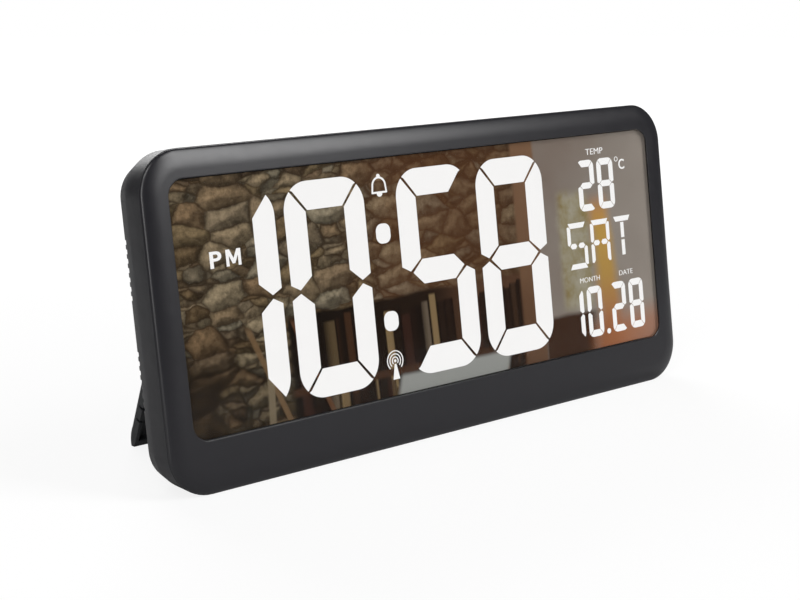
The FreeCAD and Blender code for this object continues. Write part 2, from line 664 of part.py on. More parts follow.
def rear_cover():
    """The moulded back half of the case, with its bay, pockets, posts and holes."""
    skin = cover_skin()
    shell = skin.cut(cover_hollow())
    inside = [shape.common(skin) for shape in cover_additions()]
    cover = shell.fuse(inside)
    cuts = [bay_block(0, BAY_FLOOR_Y, BACK_Y + EPS)]
    cuts.append(bay_block(DOOR_MARGIN + DOOR_PLAY, LEDGE_Y, BACK_Y + EPS))
    pin_x0, pin_x1 = pin_span()
    pin_hole = rod_x(pin_x0, pin_x1, LEG_PIN_Y, LEG_PIN_Z, LEG_PIN_RADIUS)
    cuts += both_sides([leg_pocket(0.0), pin_hole])
    shank_y = BOARD_Y - POST_FLOOR - EPS
    for x in CASE_SCREW_X:
        cuts.append(rod_y(x, CASE_SCREW_Z, BOARD_Y, BACK_Y + EPS, WELL_RADIUS))
        cuts.append(rod_y(x, CASE_SCREW_Z, shank_y, BOARD_Y + EPS, SCREW_RADIUS + SCREW_PLAY))
    pilot = SMALL_SCREW_RADIUS + PILOT_PLAY
    for x, z in key_board_posts():
        cuts.append(rod_y(x, z, KEY_BOARD_BACK_Y - EPS, BACK_INNER_Y, pilot))
    for x, z in receiver_posts():
        cuts.append(rod_y(x, z, RECEIVER_Y - EPS, BACK_INNER_Y, pilot))
    cuts += [keyhole(HOOK_SPACING / 2), keyhole(-HOOK_SPACING / 2)]
    cuts += both_sides(vent_slots())
    cuts += sound_holes() + key_openings() + snap_boxes(MOULD_GAP)
    return cover.cut(cuts).removeSplitter()


# ---- bezel ---------------------------------------------------------------------------------------
def crown_sections():
    """The bezel's convex front: outlines from the parting plane up to the flat round the window."""
    wires = [case_wire(0, PARTING_STEP, PARTING_STEP, PARTING_STEP)]
    for i in range(1, CROWN_STEPS + 1):
        angle = math.pi / 2 * i / CROWN_STEPS
        inset = PARTING_STEP + (CROWN_REACH - PARTING_STEP) * (1 - math.cos(angle))
        wires.append(case_wire(LIP_Y * math.sin(angle), inset, inset, inset))
    return wires


def inner_outline(inset, y0, y1):
    """A plate with the case's outline, moved in on all sides."""
    half = HALF_WIDTH - inset
    return rounded_slab(-half, half, inset, CASE_HEIGHT - inset, CORNER_RADIUS - inset, y0, y1)


def bezel_tongue():
    """The ring behind the bezel that fits inside the rear cover, with its catches."""
    draft = UNDERSIDE_RISE * TONGUE_DEPTH / SIDE_DEPTH + MOULD_GAP / 2
    ring = inner_outline(TONGUE_INSET, BEZEL_FLOOR_Y, 0)
    ring = ring.fuse(inner_outline(TONGUE_INSET + draft, -EPS, TONGUE_DEPTH))
    ring = ring.fuse(snap_boxes(0.0))
    return ring.cut(inner_outline(BEZEL_RIM + draft, BEZEL_FLOOR_Y - EPS, TONGUE_DEPTH + EPS))


def carrier_tabs():
    """Where the display carrier is screwed to the bezel, as (x, z), along its lower and upper edges."""
    low_z = STACK_LOW_Z - SMALL_BOSS_RADIUS - LIP_THICKNESS
    top_z = STACK_TOP_Z + SMALL_BOSS_RADIUS + LIP_THICKNESS / 2
    return [(x, z) for z in (low_z, top_z) for x in (-CARRIER_TAB_X, 0.0, CARRIER_TAB_X)]


def front_bezel():
    """The convex frame round the window, with its bosses and the tongue that fits inside the rear cover."""
    body = Part.makeLoft(crown_sections(), True, True)
    body = body.cut(inner_outline(BEZEL_RIM, BEZEL_FLOOR_Y, EPS))
    seat_y = BEZEL_FLOOR_Y - MOULD_GAP
    boss_top = BOARD_Y - POST_FLOOR - POST_MEET_GAP
    added = [rod_y(x, CASE_SCREW_Z, seat_y, boss_top, BOSS_RADIUS) for x in CASE_SCREW_X]
    added += [rod_y(x, z, seat_y, REAR_GLASS_Y, SMALL_BOSS_RADIUS) for x, z in carrier_tabs()]
    body = body.fuse([bezel_tongue()] + added)
    cuts = [
        window_slab(WINDOW_WIDTH / 2, WINDOW_HEIGHT / 2, WINDOW_RADIUS, LIP_Y - EPS, EPS),
        window_slab(SHEET_HALF_W, SHEET_HALF_H, WINDOW_RADIUS, LIP_Y + LIP_THICKNESS, BOARD_Y),
    ]
    for x in CASE_SCREW_X:
        cuts.append(rod_y(x, CASE_SCREW_Z, BEZEL_FLOOR_Y + EPS, BOARD_Y, SCREW_RADIUS + PILOT_PLAY))
    for x, z in carrier_tabs():
        cuts.append(rod_y(x, z, BEZEL_FLOOR_Y + MOULD_GAP, BOARD_Y, SMALL_SCREW_RADIUS + PILOT_PLAY))
    return body.cut(cuts).removeSplitter()


# ---- window, film and liquid-crystal panel -------------------------------------------------------
def front_window():
    """The clear hard sheet in the bezel's rebate."""
    return window_slab(STACK_HALF_W, STACK_HALF_H, WINDOW_RADIUS - MOULD_GAP, SHEET_Y, SHEET_BACK_Y)


def window_tape():
    """The thin adhesive ring that holds the window sheet to the back of the lip."""
    width = LIP_COVER - 2 * MOULD_GAP
    lip_back_y = SHEET_Y - TAPE_THICKNESS
    ring = window_slab(STACK_HALF_W, STACK_HALF_H, WINDOW_RADIUS - MOULD_GAP, lip_back_y, SHEET_Y)
    inner_radius = WINDOW_RADIUS - LIP_COVER
    y0, y1 = lip_back_y - EPS, SHEET_Y + EPS
    return ring.cut(window_slab(STACK_HALF_W - width, STACK_HALF_H - width, inner_radius, y0, y1))


def stack_sheet(y0, y1):
    """A full-size sheet of the display stack."""
    return window_slab(STACK_HALF_W, STACK_HALF_H, WINDOW_RADIUS - MOULD_GAP, y0, y1)


def rear_sheet(y0, y1, margin, half_w=WELL_HALF_W):
    """A sheet that lies in the carrier's well, above the contact ledge."""
    return box(margin - half_w, half_w - margin, y0, y1, WELL_LOW_Z + margin, WELL_TOP_Z - margin)


def mirror_film():
    """The half-mirror layer in front of the liquid-crystal glass."""
    return stack_sheet(FILM_Y, GLASS_Y)


def lcd_front_glass():
    """The panel's front glass, which stands below the rear one for its contacts."""
    return stack_sheet(GLASS_Y, REAR_GLASS_Y)


def lcd_rear_glass():
    """The panel's rear glass."""
    return rear_sheet(REAR_GLASS_Y, POLARISER_Y, MOULD_GAP)


def rear_polariser():
    """The polarising sheet on the rear glass."""
    return rear_sheet(POLARISER_Y, DIFFUSER_Y, 2 * MOULD_GAP)


def diffuser_sheet():
    """The white sheet that spreads the backlight."""
    return rear_sheet(DIFFUSER_Y, GUIDE_Y, 2 * MOULD_GAP)


def light_guide():
    """The clear plate that carries the light in from both ends."""
    return rear_sheet(GUIDE_Y, REFLECTOR_Y, MOULD_GAP, LED_X)


def reflector_sheet():
    """The white sheet behind the light guide."""
    return rear_sheet(REFLECTOR_Y, PLATE_Y, 2 * MOULD_GAP)


def led_strips():
    """Two narrow boards, one at each end of the light guide."""
    z0, z1 = WELL_LOW_Z + LED_END, WELL_TOP_Z - LED_END
    strip = box(WELL_HALF_W - STRIP_THICKNESS, WELL_HALF_W, GUIDE_Y, REFLECTOR_Y, z0, z1)
    return group(both_sides([strip]))


def backlight_leds():
    """The light-emitting diodes on both strips."""
    size = min(LED_SIZE, GUIDE_THICKNESS)
    y = (GUIDE_Y + REFLECTOR_Y) / 2
    middle = (WELL_LOW_Z + WELL_TOP_Z) / 2
    pitch = (WELL_TOP_Z - WELL_LOW_Z - 2 * LED_END) / LED_COUNT
    x0, x1 = LED_X, WELL_HALF_W - STRIP_THICKNESS
    diodes = []
    for dz in spread(LED_COUNT, pitch):
        z0, z1 = middle + dz - size / 2, middle + dz + size / 2
        diodes.append(box(x0, x1, y - size / 2, y + size / 2, z0, z1))
    return group(both_sides(diodes))


def board_screw_x():
    """The main board's screws along X."""
    outer = MAIN_BOARD_WIDTH / 2 - BOARD_SCREW_END
    return [-outer, -BOARD_SCREW_X, BOARD_SCREW_X, outer]


def carrier_tab(x, z):
    """One screw tab on the carrier's edge, with a round end."""
    width = 2 * SMALL_BOSS_RADIUS + HEAD_PLAY
    root = STACK_LOW_Z + EPS if z < WINDOW_Z else STACK_TOP_Z - EPS
    z0, z1 = sorted((z, root))
    arm = box(x - width / 2, x + width / 2, REAR_GLASS_Y, REAR_GLASS_Y + CARRIER_TAB, z0, z1)
    return arm.fuse(rod_y(x, z, REAR_GLASS_Y, REAR_GLASS_Y + CARRIER_TAB, SMALL_BOSS_RADIUS))


def board_clips():
    """Hooks on the carrier that hold the main board's upper edge."""
    z = BOARD_LOW_Z + MAIN_BOARD_HEIGHT
    clips = []
    for x in spread(2, CLIP_SPACING):
        z0 = z + MOULD_GAP
        x0, x1 = x - CLIP_WIDTH / 2, x + CLIP_WIDTH / 2
        top_y = BOARD_BACK_Y + CLIP_LIP
        stem = box(x0, x1, BOARD_Y - EPS, top_y, z0, z0 + CARRIER_RIM)
        clips.append(stem.fuse(box(x0, x1, BOARD_BACK_Y + PILOT_PLAY, top_y, z - CLIP_LIP, z0 + EPS)))
    return clips


def display_carrier():
    """The moulded tray that holds the backlight and presses the display stack against the bezel."""
    tray = box(-STACK_HALF_W, STACK_HALF_W, REAR_GLASS_Y, BOARD_Y, STACK_LOW_Z, STACK_TOP_Z)
    well = rear_sheet(REAR_GLASS_Y - EPS, PLATE_Y, 0)
    zebra_length = MAIN_BOARD_WIDTH - 2 * ZEBRA_END + 2 * MOULD_GAP
    height = ZEBRA_WIDTH + 2 * PILOT_PLAY
    channel = block_at(0, ZEBRA_Z, zebra_length, height, REAR_GLASS_Y - EPS, BOARD_Y + EPS)
    added = [carrier_tab(x, z) for x, z in carrier_tabs()] + board_clips()
    ear_y = REAR_GLASS_Y + CARRIER_TAB / 2
    for x in board_screw_x():
        x0, x1 = x - SMALL_BOSS_RADIUS, x + SMALL_BOSS_RADIUS
        ear = box(x0, x1, ear_y, BOARD_Y, BOARD_SCREW_Z, STACK_LOW_Z + EPS)
        added.append(ear.fuse(rod_y(x, BOARD_SCREW_Z, ear_y, BOARD_Y, SMALL_BOSS_RADIUS)))
    tray = tray.cut([well, channel]).fuse(added)
    cuts = []
    for x, z in carrier_tabs():
        y0, y1 = REAR_GLASS_Y - EPS, REAR_GLASS_Y + CARRIER_TAB + EPS
        cuts.append(rod_y(x, z, y0, y1, SMALL_SCREW_RADIUS + SCREW_PLAY))
    for x in board_screw_x():
        pilot = SMALL_SCREW_RADIUS + PILOT_PLAY
        cuts.append(rod_y(x, BOARD_SCREW_Z, BOARD_Y - SCREW_BITE - EPS, BOARD_Y + EPS, pilot))
    return tray.cut(cuts).removeSplitter()


def zebra_strip():
    """The striped rubber that joins the glass's contacts to the main board."""
    return block_at(0, ZEBRA_Z, MAIN_BOARD_WIDTH - 2 * ZEBRA_END, ZEBRA_WIDTH, REAR_GLASS_Y, BOARD_Y)


# ---- lit segments --------------------------------------------------------------------------------
def lit_slab(points, x, z):
    """A lit shape with a polygon outline, about a centre given from the window's own centre height."""
    return polygon_slab([(x + px, WINDOW_Z + z + pz) for px, pz in points], LIT_Y, FILM_Y)


def lit_dot(x, z, radius):
    """A round lit dot."""
    return rod_y(x, WINDOW_Z + z, LIT_Y, FILM_Y, radius)


def segment_outlines(height, width):
    """The bars a to g of a seven-bar figure, about its centre. They meet in narrow slanting gaps."""
    half_h, half_w = height / 2, width / 2
    bar, gap = BAR_SHARE * width, GAP_SHARE * height
    inner_w, inner_h = half_w - bar, half_h - END_BAR_SHARE * height
    mid = MIDDLE_BAR_SHARE * height / 2
    post_x = half_w - 0.42 * bar
    run, rise = 0.62 * bar, 0.77 * bar
    top = [
        (gap - inner_w, inner_h + 0.2 * gap),
        (inner_w - gap, inner_h + 0.2 * gap),
        (inner_w - gap + run, inner_h + rise),
        (inner_w - gap + 2 * run, half_h),
        (gap - inner_w - 2 * run, half_h),
        (gap - inner_w - run, inner_h + rise),
    ]
    upper_right = [
        (inner_w, mid + 0.5 * gap),
        (post_x, 0.8 * gap),
        (half_w, 0.58 * mid),
        (half_w, half_h),
        (inner_w + 1.25 * run, inner_h + 1.12 * rise),
        (inner_w, inner_h - 0.4 * gap),
    ]
    middle = [
        (1.5 * gap - post_x, 0),
        (0.9 * gap - inner_w, mid),
        (inner_w - 0.9 * gap, mid),
        (post_x - 1.5 * gap, 0),
        (inner_w - 0.9 * gap, -mid),
        (0.9 * gap - inner_w, -mid),
    ]
    return {
        "a": top,
        "b": upper_right,
        "c": [(px, -pz) for px, pz in upper_right],
        "d": [(px, -pz) for px, pz in top],
        "e": [(-px, -pz) for px, pz in upper_right],
        "f": [(-px, pz) for px, pz in upper_right],
        "g": middle,
    }


def seven_segment(letters, x, z, height, width):
    """The lit bars of one figure, cut to a round-cornered outline."""
    outlines = segment_outlines(height, width)
    corner = DIGIT_CORNER_SHARE * width
    low_z, high_z = WINDOW_Z + z - height / 2, WINDOW_Z + z + height / 2
    outline = rounded_slab(x - width / 2, x + width / 2, low_z, high_z, corner, LIT_Y, FILM_Y)
    return [lit_slab(outlines[letter], x, z).common(outline) for letter in letters]


DIGITS = {"0": "abcdef", "1": "bc", "2": "abged", "5": "afgcd", "8": "abcdefg"}


def digit_pair(text, x, z, height, width, space):
    """Two figures side by side, centred on x."""
    bars = []
    for character, dx in zip(text, spread(len(text), width + space)):
        bars += seven_segment(DIGITS[character], x + dx, z, height, width)
    return bars


def time_digits():
    """The hour and minute figures."""
    hours = digit_pair("10", HOUR_X + DIGIT_PITCH / 2, 0, DIGIT_HEIGHT, DIGIT_WIDTH, DIGIT_SPACE)
    minutes = digit_pair("58", MINUTE_X + DIGIT_PITCH / 2, 0, DIGIT_HEIGHT, DIGIT_WIDTH, DIGIT_SPACE)
    return group(hours + minutes)


def time_colon():
    """Two round-cornered dots."""
    dots = []
    for z in spread(2, COLON_SPREAD):
        x0, x1 = COLON_X - COLON_WIDTH / 2, COLON_X + COLON_WIDTH / 2
        z0, z1 = WINDOW_Z + z - COLON_HEIGHT / 2, WINDOW_Z + z + COLON_HEIGHT / 2
        dots.append(rounded_slab(x0, x1, z0, z1, COLON_RADIUS, LIT_Y, FILM_Y))
    return group(dots)


def temperature_digits():
    """The two temperature figures."""
    width, space = TEMPERATURE_WIDTH, TEMPERATURE_SPACE
    return group(digit_pair("28", COLUMN_X, TEMPERATURE_Z, SMALL_DIGIT_HEIGHT, width, space))


def date_digits():
    """Month and day, with a dot between them."""
    offset = (DATE_DOT_SPACE + 2 * DATE_WIDTH + DATE_SPACE) / 2
    x = COLUMN_X + DATE_SHIFT
    bars = digit_pair("10", x - offset, DATE_Z, SMALL_DIGIT_HEIGHT, DATE_WIDTH, DATE_SPACE)
    bars += digit_pair("28", x + offset, DATE_Z, SMALL_DIGIT_HEIGHT, DATE_WIDTH, DATE_SPACE)
    return group(bars + [lit_dot(x, DATE_Z - SMALL_DIGIT_HEIGHT / 2 + DOT_RADIUS, DOT_RADIUS)])


def letter_outlines():
    """The bars of a fourteen-bar letter, about its centre."""
    half_w, half_h = LETTER_WIDTH / 2, LETTER_HEIGHT / 2
    post, bar, gap = LETTER_POST, LETTER_BAR, LETTER_GAP
    inner_w, spine_x, mid = half_w - post, half_w - post / 2, bar / 2
    side = [
        (half_w, (mid + gap) / 2),
        (spine_x, gap / 2),
        (inner_w, mid + gap / 2),
        (inner_w, half_h - bar - gap / 2),
        (spine_x, half_h - (bar + gap) / 2),
        (half_w, half_h - bar / 2 - gap),
    ]
    half_bar = [
        (gap, 0),
        (gap / 2 + mid, mid),
        (inner_w - gap, mid),
        (spine_x - gap, 0),
        (inner_w - gap, -mid),
        (gap / 2 + mid, -mid),
    ]
    top = [
        (-spine_x - gap / 2, half_h),
        (spine_x + gap / 2, half_h),
        (inner_w, half_h - bar),
        (-inner_w, half_h - bar),
    ]
    stem = [
        (-post / 2, gap),
        (post / 2, gap),
        (post / 2, half_h - bar - gap),
        (-post / 2, half_h - bar - gap),
    ]
    return {
        "top": top,
        "bottom": [(px, -pz) for px, pz in top],
        "upper_right": side,
        "upper_left": [(-px, pz) for px, pz in side],
        "lower_right": [(px, -pz) for px, pz in side],
        "lower_left": [(-px, -pz) for px, pz in side],
        "middle_right": half_bar,
        "middle_left": [(-px, pz) for px, pz in half_bar],
        "stem_up": stem,
        "stem_down": [(px, -pz) for px, pz in stem],
    }


LETTER_BARS = {
    "S": "top upper_left middle_left middle_right lower_right bottom",
    "A": "top upper_left upper_right middle_left middle_right lower_left lower_right",
    "T": "top stem_up stem_down",
}


def weekday_letters():
    """The three letters of the day of the week."""
    outlines = letter_outlines()
    bars = []
    for letter, dx in zip("SAT", spread(3, LETTER_WIDTH + LETTER_SPACE)):
        bars += [lit_slab(outlines[name], COLUMN_X + dx, WEEKDAY_Z) for name in LETTER_BARS[letter].split()]
    return group(bars)


STROKES = {
    "P": ((0, 0, 0, 1), (0, 1, 0.6, 1), (0.6, 1, 0.6, 0.5), (0.6, 0.5, 0, 0.5)),
    "M": ((0, 0, 0, 1), (0, 1, 0.42, 0.4), (0.42, 0.4, 0.84, 1), (0.84, 1, 0.84, 0)),
    "T": ((0, 1, 0.72, 1), (0.36, 1, 0.36, 0)),
    "E": ((0, 0, 0, 1), (0, 1, 0.55, 1), (0, 0.5, 0.5, 0.5), (0, 0, 0.55, 0)),
    "O": ((0, 0, 0, 1), (0, 1, 0.7, 1), (0.7, 1, 0.7, 0), (0.7, 0, 0, 0)),
    "C": ((0.65, 1, 0, 1), (0, 1, 0, 0), (0, 0, 0.65, 0)),
    "N": ((0, 0, 0, 1), (0, 1, 0.68, 0), (0.68, 0, 0.68, 1)),
    "H": ((0, 0, 0, 1), (0, 0.5, 0.66, 0.5), (0.66, 0, 0.66, 1)),
    "D": ((0, 0, 0, 1), (0, 1, 0.45, 1), (0.45, 1, 0.68, 0.75), (0.68, 0.75, 0.68, 0.25),
          (0.68, 0.25, 0.45, 0), (0.45, 0, 0, 0)),
    "A": ((0, 0, 0.38, 1), (0.38, 1, 0.76, 0), (0.16, 0.36, 0.6, 0.36)),
}


def stroke(x0, z0, x1, z1, pen):
    """A straight lit pen stroke with round ends."""
    length = math.hypot(x1 - x0, z1 - z0)
    nx, nz = (z0 - z1) / length * pen / 2, (x1 - x0) / length * pen / 2
    corners = [(x0 + nx, z0 + nz), (x1 + nx, z1 + nz), (x1 - nx, z1 - nz), (x0 - nx, z0 - nz)]
    return lit_slab(corners, 0, 0).fuse([lit_dot(x0, z0, pen / 2), lit_dot(x1, z1, pen / 2)])


def word_width(text, height):
    """How wide a word is."""
    reaches = [max(max(line[0], line[2]) for line in STROKES[character]) for character in text]
    return (sum(reaches) + (len(text) - 1) * WORD_GAP * PEN_SHARE) * height * WORD_STRETCH


def word(text, x, z, height):
    """A plain word in capitals, drawn with a round pen and centred on x and z."""
    pen = PEN_SHARE * height
    reach = WORD_STRETCH * height
    letters = []
    left = x - word_width(text, height) / 2
    foot = z - height / 2
    for character in text:
        lines = STROKES[character]
        drawn = [
            stroke(left + ax * reach, foot + az * height, left + bx * reach, foot + bz * height, pen)
            for ax, az, bx, bz in lines
        ]
        letters.append(fuse(drawn))
        left += word_width(character, height) + WORD_GAP * PEN_SHARE * reach
    return letters


def display_labels():
    """The small fixed words: PM, TEMP, the degree sign and C, MONTH and DATE."""
    over_temperature = TEMPERATURE_Z + SMALL_DIGIT_HEIGHT / 2 + 1.6 * TITLE_HEIGHT
    over_date = DATE_Z + SMALL_DIGIT_HEIGHT / 2 + 1.9 * SUBTITLE_HEIGHT
    unit_x = COLUMN_X + TEMPERATURE_WIDTH + TEMPERATURE_SPACE + 1.2 * UNIT_HEIGHT
    unit_z = TEMPERATURE_Z + SMALL_DIGIT_HEIGHT / 2 - UNIT_HEIGHT
    degree_x, degree_z = unit_x - 0.8 * UNIT_HEIGHT, WINDOW_Z + unit_z + 0.65 * UNIT_HEIGHT
    degree_r = 0.3 * UNIT_HEIGHT
    quarter = (2 * DATE_WIDTH + DATE_SPACE + DATE_DOT_SPACE) / 2
    shapes = word("PM", HOUR_X - DIGIT_WIDTH / 8, COLON_SPREAD / 2, HOUR_LABEL_HEIGHT)
    shapes += word("TEMP", COLUMN_X, over_temperature, TITLE_HEIGHT)
    shapes += word("C", unit_x, unit_z, UNIT_HEIGHT)
    shapes.append(ring_slab(degree_x, degree_z, degree_r, 0.66 * degree_r, LIT_Y, FILM_Y))
    shapes += word("MONTH", COLUMN_X + DATE_SHIFT + 0.4 * DATE_WIDTH - quarter, over_date, SUBTITLE_HEIGHT)
    shapes += word("DATE", COLUMN_X + DATE_SHIFT + quarter, over_date, SUBTITLE_HEIGHT)
    return group(shapes)


def alarm_icon():
    """A bell drawn as an outline, with its knob and clapper."""
    x, z, r, pen = COLON_X, BELL_Z, BELL_RADIUS, BELL_PEN
    dome = ring_slab(x, WINDOW_Z + z, r + pen / 2, r - pen / 2, LIT_Y, FILM_Y)
    above = box(x - 2 * r, x + 2 * r, LIT_Y, FILM_Y, WINDOW_Z + z, WINDOW_Z + z + 2 * r)
    low = z - 0.8 * r
    flare = 1.1 * r
    parts = [dome.common(above)]
    parts += [stroke(x - r, z, x - flare, low, pen), stroke(x + r, z, x + flare, low, pen)]
    parts += [stroke(x - flare, low, x + flare, low, pen), lit_dot(x, z + r + 0.7 * pen, 1.2 * pen)]
    below = box(x - r, x + r, LIT_Y, FILM_Y, WINDOW_Z + low - r, WINDOW_Z + low)
    parts.append(lit_dot(x, low - 0.4 * pen, 1.9 * pen).common(below))
    return fuse(parts)


def signal_icon():
    """A small mast with three rings, open below."""
    x, z = COLON_X, MAST_Z
    reach = (MAST_RINGS + 1) * MAST_RING_PITCH
    below = polygon_slab(
        [(x, WINDOW_Z + z), (x - reach, WINDOW_Z + z - reach), (x + reach, WINDOW_Z + z - reach)],
        LIT_Y - EPS,
        FILM_Y + EPS,
    )
    pen = MAST_RING_PITCH / 3
    shapes = [lit_dot(x, z, 1.4 * pen)]
    for ring in range(1, MAST_RINGS + 1):
        radius = (ring + 0.2) * MAST_RING_PITCH
        arc = ring_slab(x, WINDOW_Z + z, radius + pen / 2, radius - pen / 2, LIT_Y, FILM_Y)
        shapes.append(arc.cut(below))
    foot, top = MAST_HEIGHT, MAST_RING_PITCH
    shapes.append(lit_slab([(-pen, -top), (pen, -top), (0.23 * foot, -foot), (-0.23 * foot, -foot)], x, z))
    return group(shapes)


# ---- boards --------------------------------------------------------------------------------------
def main_board():
    """The board on the back of the carrier."""
    half = MAIN_BOARD_WIDTH / 2
    board = box(-half, half, BOARD_Y, BOARD_BACK_Y, BOARD_LOW_Z, BOARD_LOW_Z + MAIN_BOARD_HEIGHT)
    radius = SMALL_SCREW_RADIUS + SCREW_PLAY
    y0, y1 = BOARD_Y - EPS, BOARD_BACK_Y + EPS
    return board.cut([rod_y(x, BOARD_SCREW_Z, y0, y1, radius) for x in board_screw_x()])


def chip(x, size):
    """A flat chip on the back of the main board."""
    return block_at(x, BOARD_LOW_Z + CHIP_Z, size, size, BOARD_BACK_Y, BOARD_BACK_Y + CHIP_HEIGHT)


def display_driver():
    """The two chips that drive the display."""
    x = DRIVER_INSET - MAIN_BOARD_WIDTH / 2
    return group([chip(x, CHIP_SIZE), chip(x + CHIP_PITCH, CHIP_SIZE)])


def clock_chip():
    """The chip that keeps the time."""
    return chip(CLOCK_CHIP_X, 0.86 * CHIP_SIZE)


def quartz_crystal():
    """The clock crystal in its round can, lying on the board."""
    x = CLOCK_CHIP_X + CRYSTAL_SPACE
    z = BOARD_LOW_Z + CHIP_Z - CHIP_SIZE / 2
    return rod_x(x, x + CRYSTAL_LENGTH, BOARD_BACK_Y + CRYSTAL_RADIUS, z, CRYSTAL_RADIUS)


def board_capacitors():
    """Upright round capacitors on the main board."""
    z = BOARD_LOW_Z + CHIP_Z
    last = MAIN_BOARD_WIDTH / 2 - CAPACITOR_INSET
    places = (last - CAPACITOR_SPACE - CAPACITOR_PITCH, last - CAPACITOR_SPACE, last)
    top_y = BOARD_BACK_Y + CAPACITOR_HEIGHT
    return group([rod_y(x, z, BOARD_BACK_Y, top_y, CAPACITOR_RADIUS) for x in places])


def key_board():
    """The board behind the push buttons, slider and inlet."""
    x0, x1, z0, z1 = key_board_limits()
    board = box(x0, x1, KEY_BOARD_Y, KEY_BOARD_BACK_Y, z0, z1)
    radius = SMALL_SCREW_RADIUS + SCREW_PLAY
    y0, y1 = KEY_BOARD_Y - EPS, KEY_BOARD_BACK_Y + EPS
    return board.cut([rod_y(x, z, y0, y1, radius) for x, z in key_board_posts()])


def tact_switches():
    """The small push switches, each with a round well that its button's stem works in."""
    floor = SWITCH_TOP_Y - STEM_ENTRY - KEY_TRAVEL - MOULD_GAP
    switches = []
    for i in range(len(KEY_NAMES)):
        body = block_at(key_x(i), KEY_Z, SWITCH_BODY, SWITCH_BODY, KEY_BOARD_BACK_Y, SWITCH_TOP_Y)
        switches.append(body.cut(rod_y(key_x(i), KEY_Z, floor, SWITCH_TOP_Y + EPS, STEM_RADIUS + STEM_PLAY)))
    return group(switches)


def push_button(index):
    """One button: a round-ended cap, a flange behind the wall, and a stem to its switch."""
    x, tip_y = key_x(index), BACK_Y + KEY_PROUD
    cap = pill(x, KEY_Z, KEY_WIDTH, KEY_HEIGHT, KEY_FLANGE_Y, tip_y)
    edges = [e for e in cap.Edges if abs(e.BoundBox.YMin - tip_y) < 1e-6 and e.BoundBox.YLength < 1e-6]
    cap = cap.makeFillet(KEY_PROUD * 0.4, edges)
    flange_w, flange_h = KEY_WIDTH + 2 * KEY_FLANGE, KEY_HEIGHT + 2 * KEY_FLANGE
    flange = pill(x, KEY_Z, flange_w, flange_h, KEY_FLANGE_Y, BACK_INNER_Y)
    stem = rod_y(x, KEY_Z, SWITCH_TOP_Y - STEM_ENTRY, BACK_INNER_Y, STEM_RADIUS)
    return fuse([cap, flange, stem])


def switch_housing():
    """The slide switch's metal housing, open towards the back for its knob."""
    inner_w = SLIDER_WIDTH + SLIDER_TRAVEL + 2 * KEY_PLAY
    inner_h = SLIDER_HEIGHT + 2 * SLIDER_PLAY
    outer_w, outer_h = inner_w + 2 * HOUSING_END, inner_h + 2 * HOUSING_SIDE
    body = block_at(SLIDER_X, SLIDER_Z, outer_w, outer_h, KEY_BOARD_BACK_Y, SWITCH_TOP_Y)
    y0, y1 = KEY_BOARD_BACK_Y + HOUSING_END, SWITCH_TOP_Y + EPS
    return body.cut(block_at(SLIDER_X, SLIDER_Z, inner_w, inner_h, y0, y1))


def brightness_slider():
    """The knob of the slide switch, at the left end of its travel."""
    x, tip_y = SLIDER_X - SLIDER_TRAVEL / 2, BACK_Y + SLIDER_PROUD
    foot_y = KEY_BOARD_BACK_Y + HOUSING_END + SLIDER_PLAY
    knob = block_at(x, SLIDER_Z, SLIDER_WIDTH, SLIDER_HEIGHT, foot_y, tip_y)
    grooves = []
    for dx in spread(3, SLIDER_WIDTH / 4):
        y0, y1 = tip_y - SLIDER_PROUD * 0.7, tip_y + EPS
        grooves.append(block_at(x + dx, SLIDER_Z, SLIDER_WIDTH / 8, SLIDER_HEIGHT + EPS, y0, y1))
    return knob.cut(grooves)


def power_inlet():
    """The upright power socket: a flat round-ended metal sleeve with a contact tongue."""
    mouth_y, floor_y = BACK_Y - MOULD_GAP, KEY_BOARD_BACK_Y + HOUSING_END
    sleeve = pill(INLET_X, SLIDER_Z, INLET_WIDTH, INLET_HEIGHT, KEY_BOARD_BACK_Y, mouth_y)
    inner_w, inner_h = INLET_WIDTH - 2 * INLET_SHELL, INLET_HEIGHT - 2 * INLET_SHELL
    sleeve = sleeve.cut(pill(INLET_X, SLIDER_Z, inner_w, inner_h, floor_y, BACK_Y + EPS))
    tongue_y = mouth_y - INLET_TONGUE
    tongue = block_at(INLET_X, SLIDER_Z, 0.75 * INLET_WIDTH, INLET_TONGUE, floor_y - EPS, tongue_y)
    return fuse([sleeve, tongue])


# ---- radio, sound and temperature ----------------------------------------------------------------
def ferrite_rod():
    """The receiver's aerial core."""
    half = ROD_LENGTH / 2
    return rod_x(RECEIVER_X - half, RECEIVER_X + half, ROD_Y, RECEIVER_Z, ROD_RADIUS)


def antenna_coil():
    """The winding on the rod."""
    half = COIL_LENGTH / 2
    return rod_x(RECEIVER_X - half, RECEIVER_X + half, ROD_Y, RECEIVER_Z, COIL_RADIUS).cut(ferrite_rod())


def receiver_board():
    """The small radio board, with its one chip."""
    z = RECEIVER_Z - RECEIVER_DROP
    y0 = RECEIVER_Y - RECEIVER_BOARD
    board = block_at(RECEIVER_X, z, RECEIVER_WIDTH, RECEIVER_HEIGHT, y0, RECEIVER_Y)
    radius = SMALL_SCREW_RADIUS + SCREW_PLAY
    board = board.cut([rod_y(x, pz, y0 - EPS, RECEIVER_Y + EPS, radius) for x, pz in receiver_posts()])
    chip_size = 0.4 * RECEIVER_HEIGHT
    return fuse([board, block_at(RECEIVER_X, z, chip_size, chip_size, y0 - RECEIVER_BOARD, y0)])


def sound_disc():
    """The alarm's sounder."""
    return rod_y(SOUND_X, SOUND_Z, BACK_INNER_Y - SOUND_DISC_HEIGHT, BACK_INNER_Y, SOUND_DISC_RADIUS)


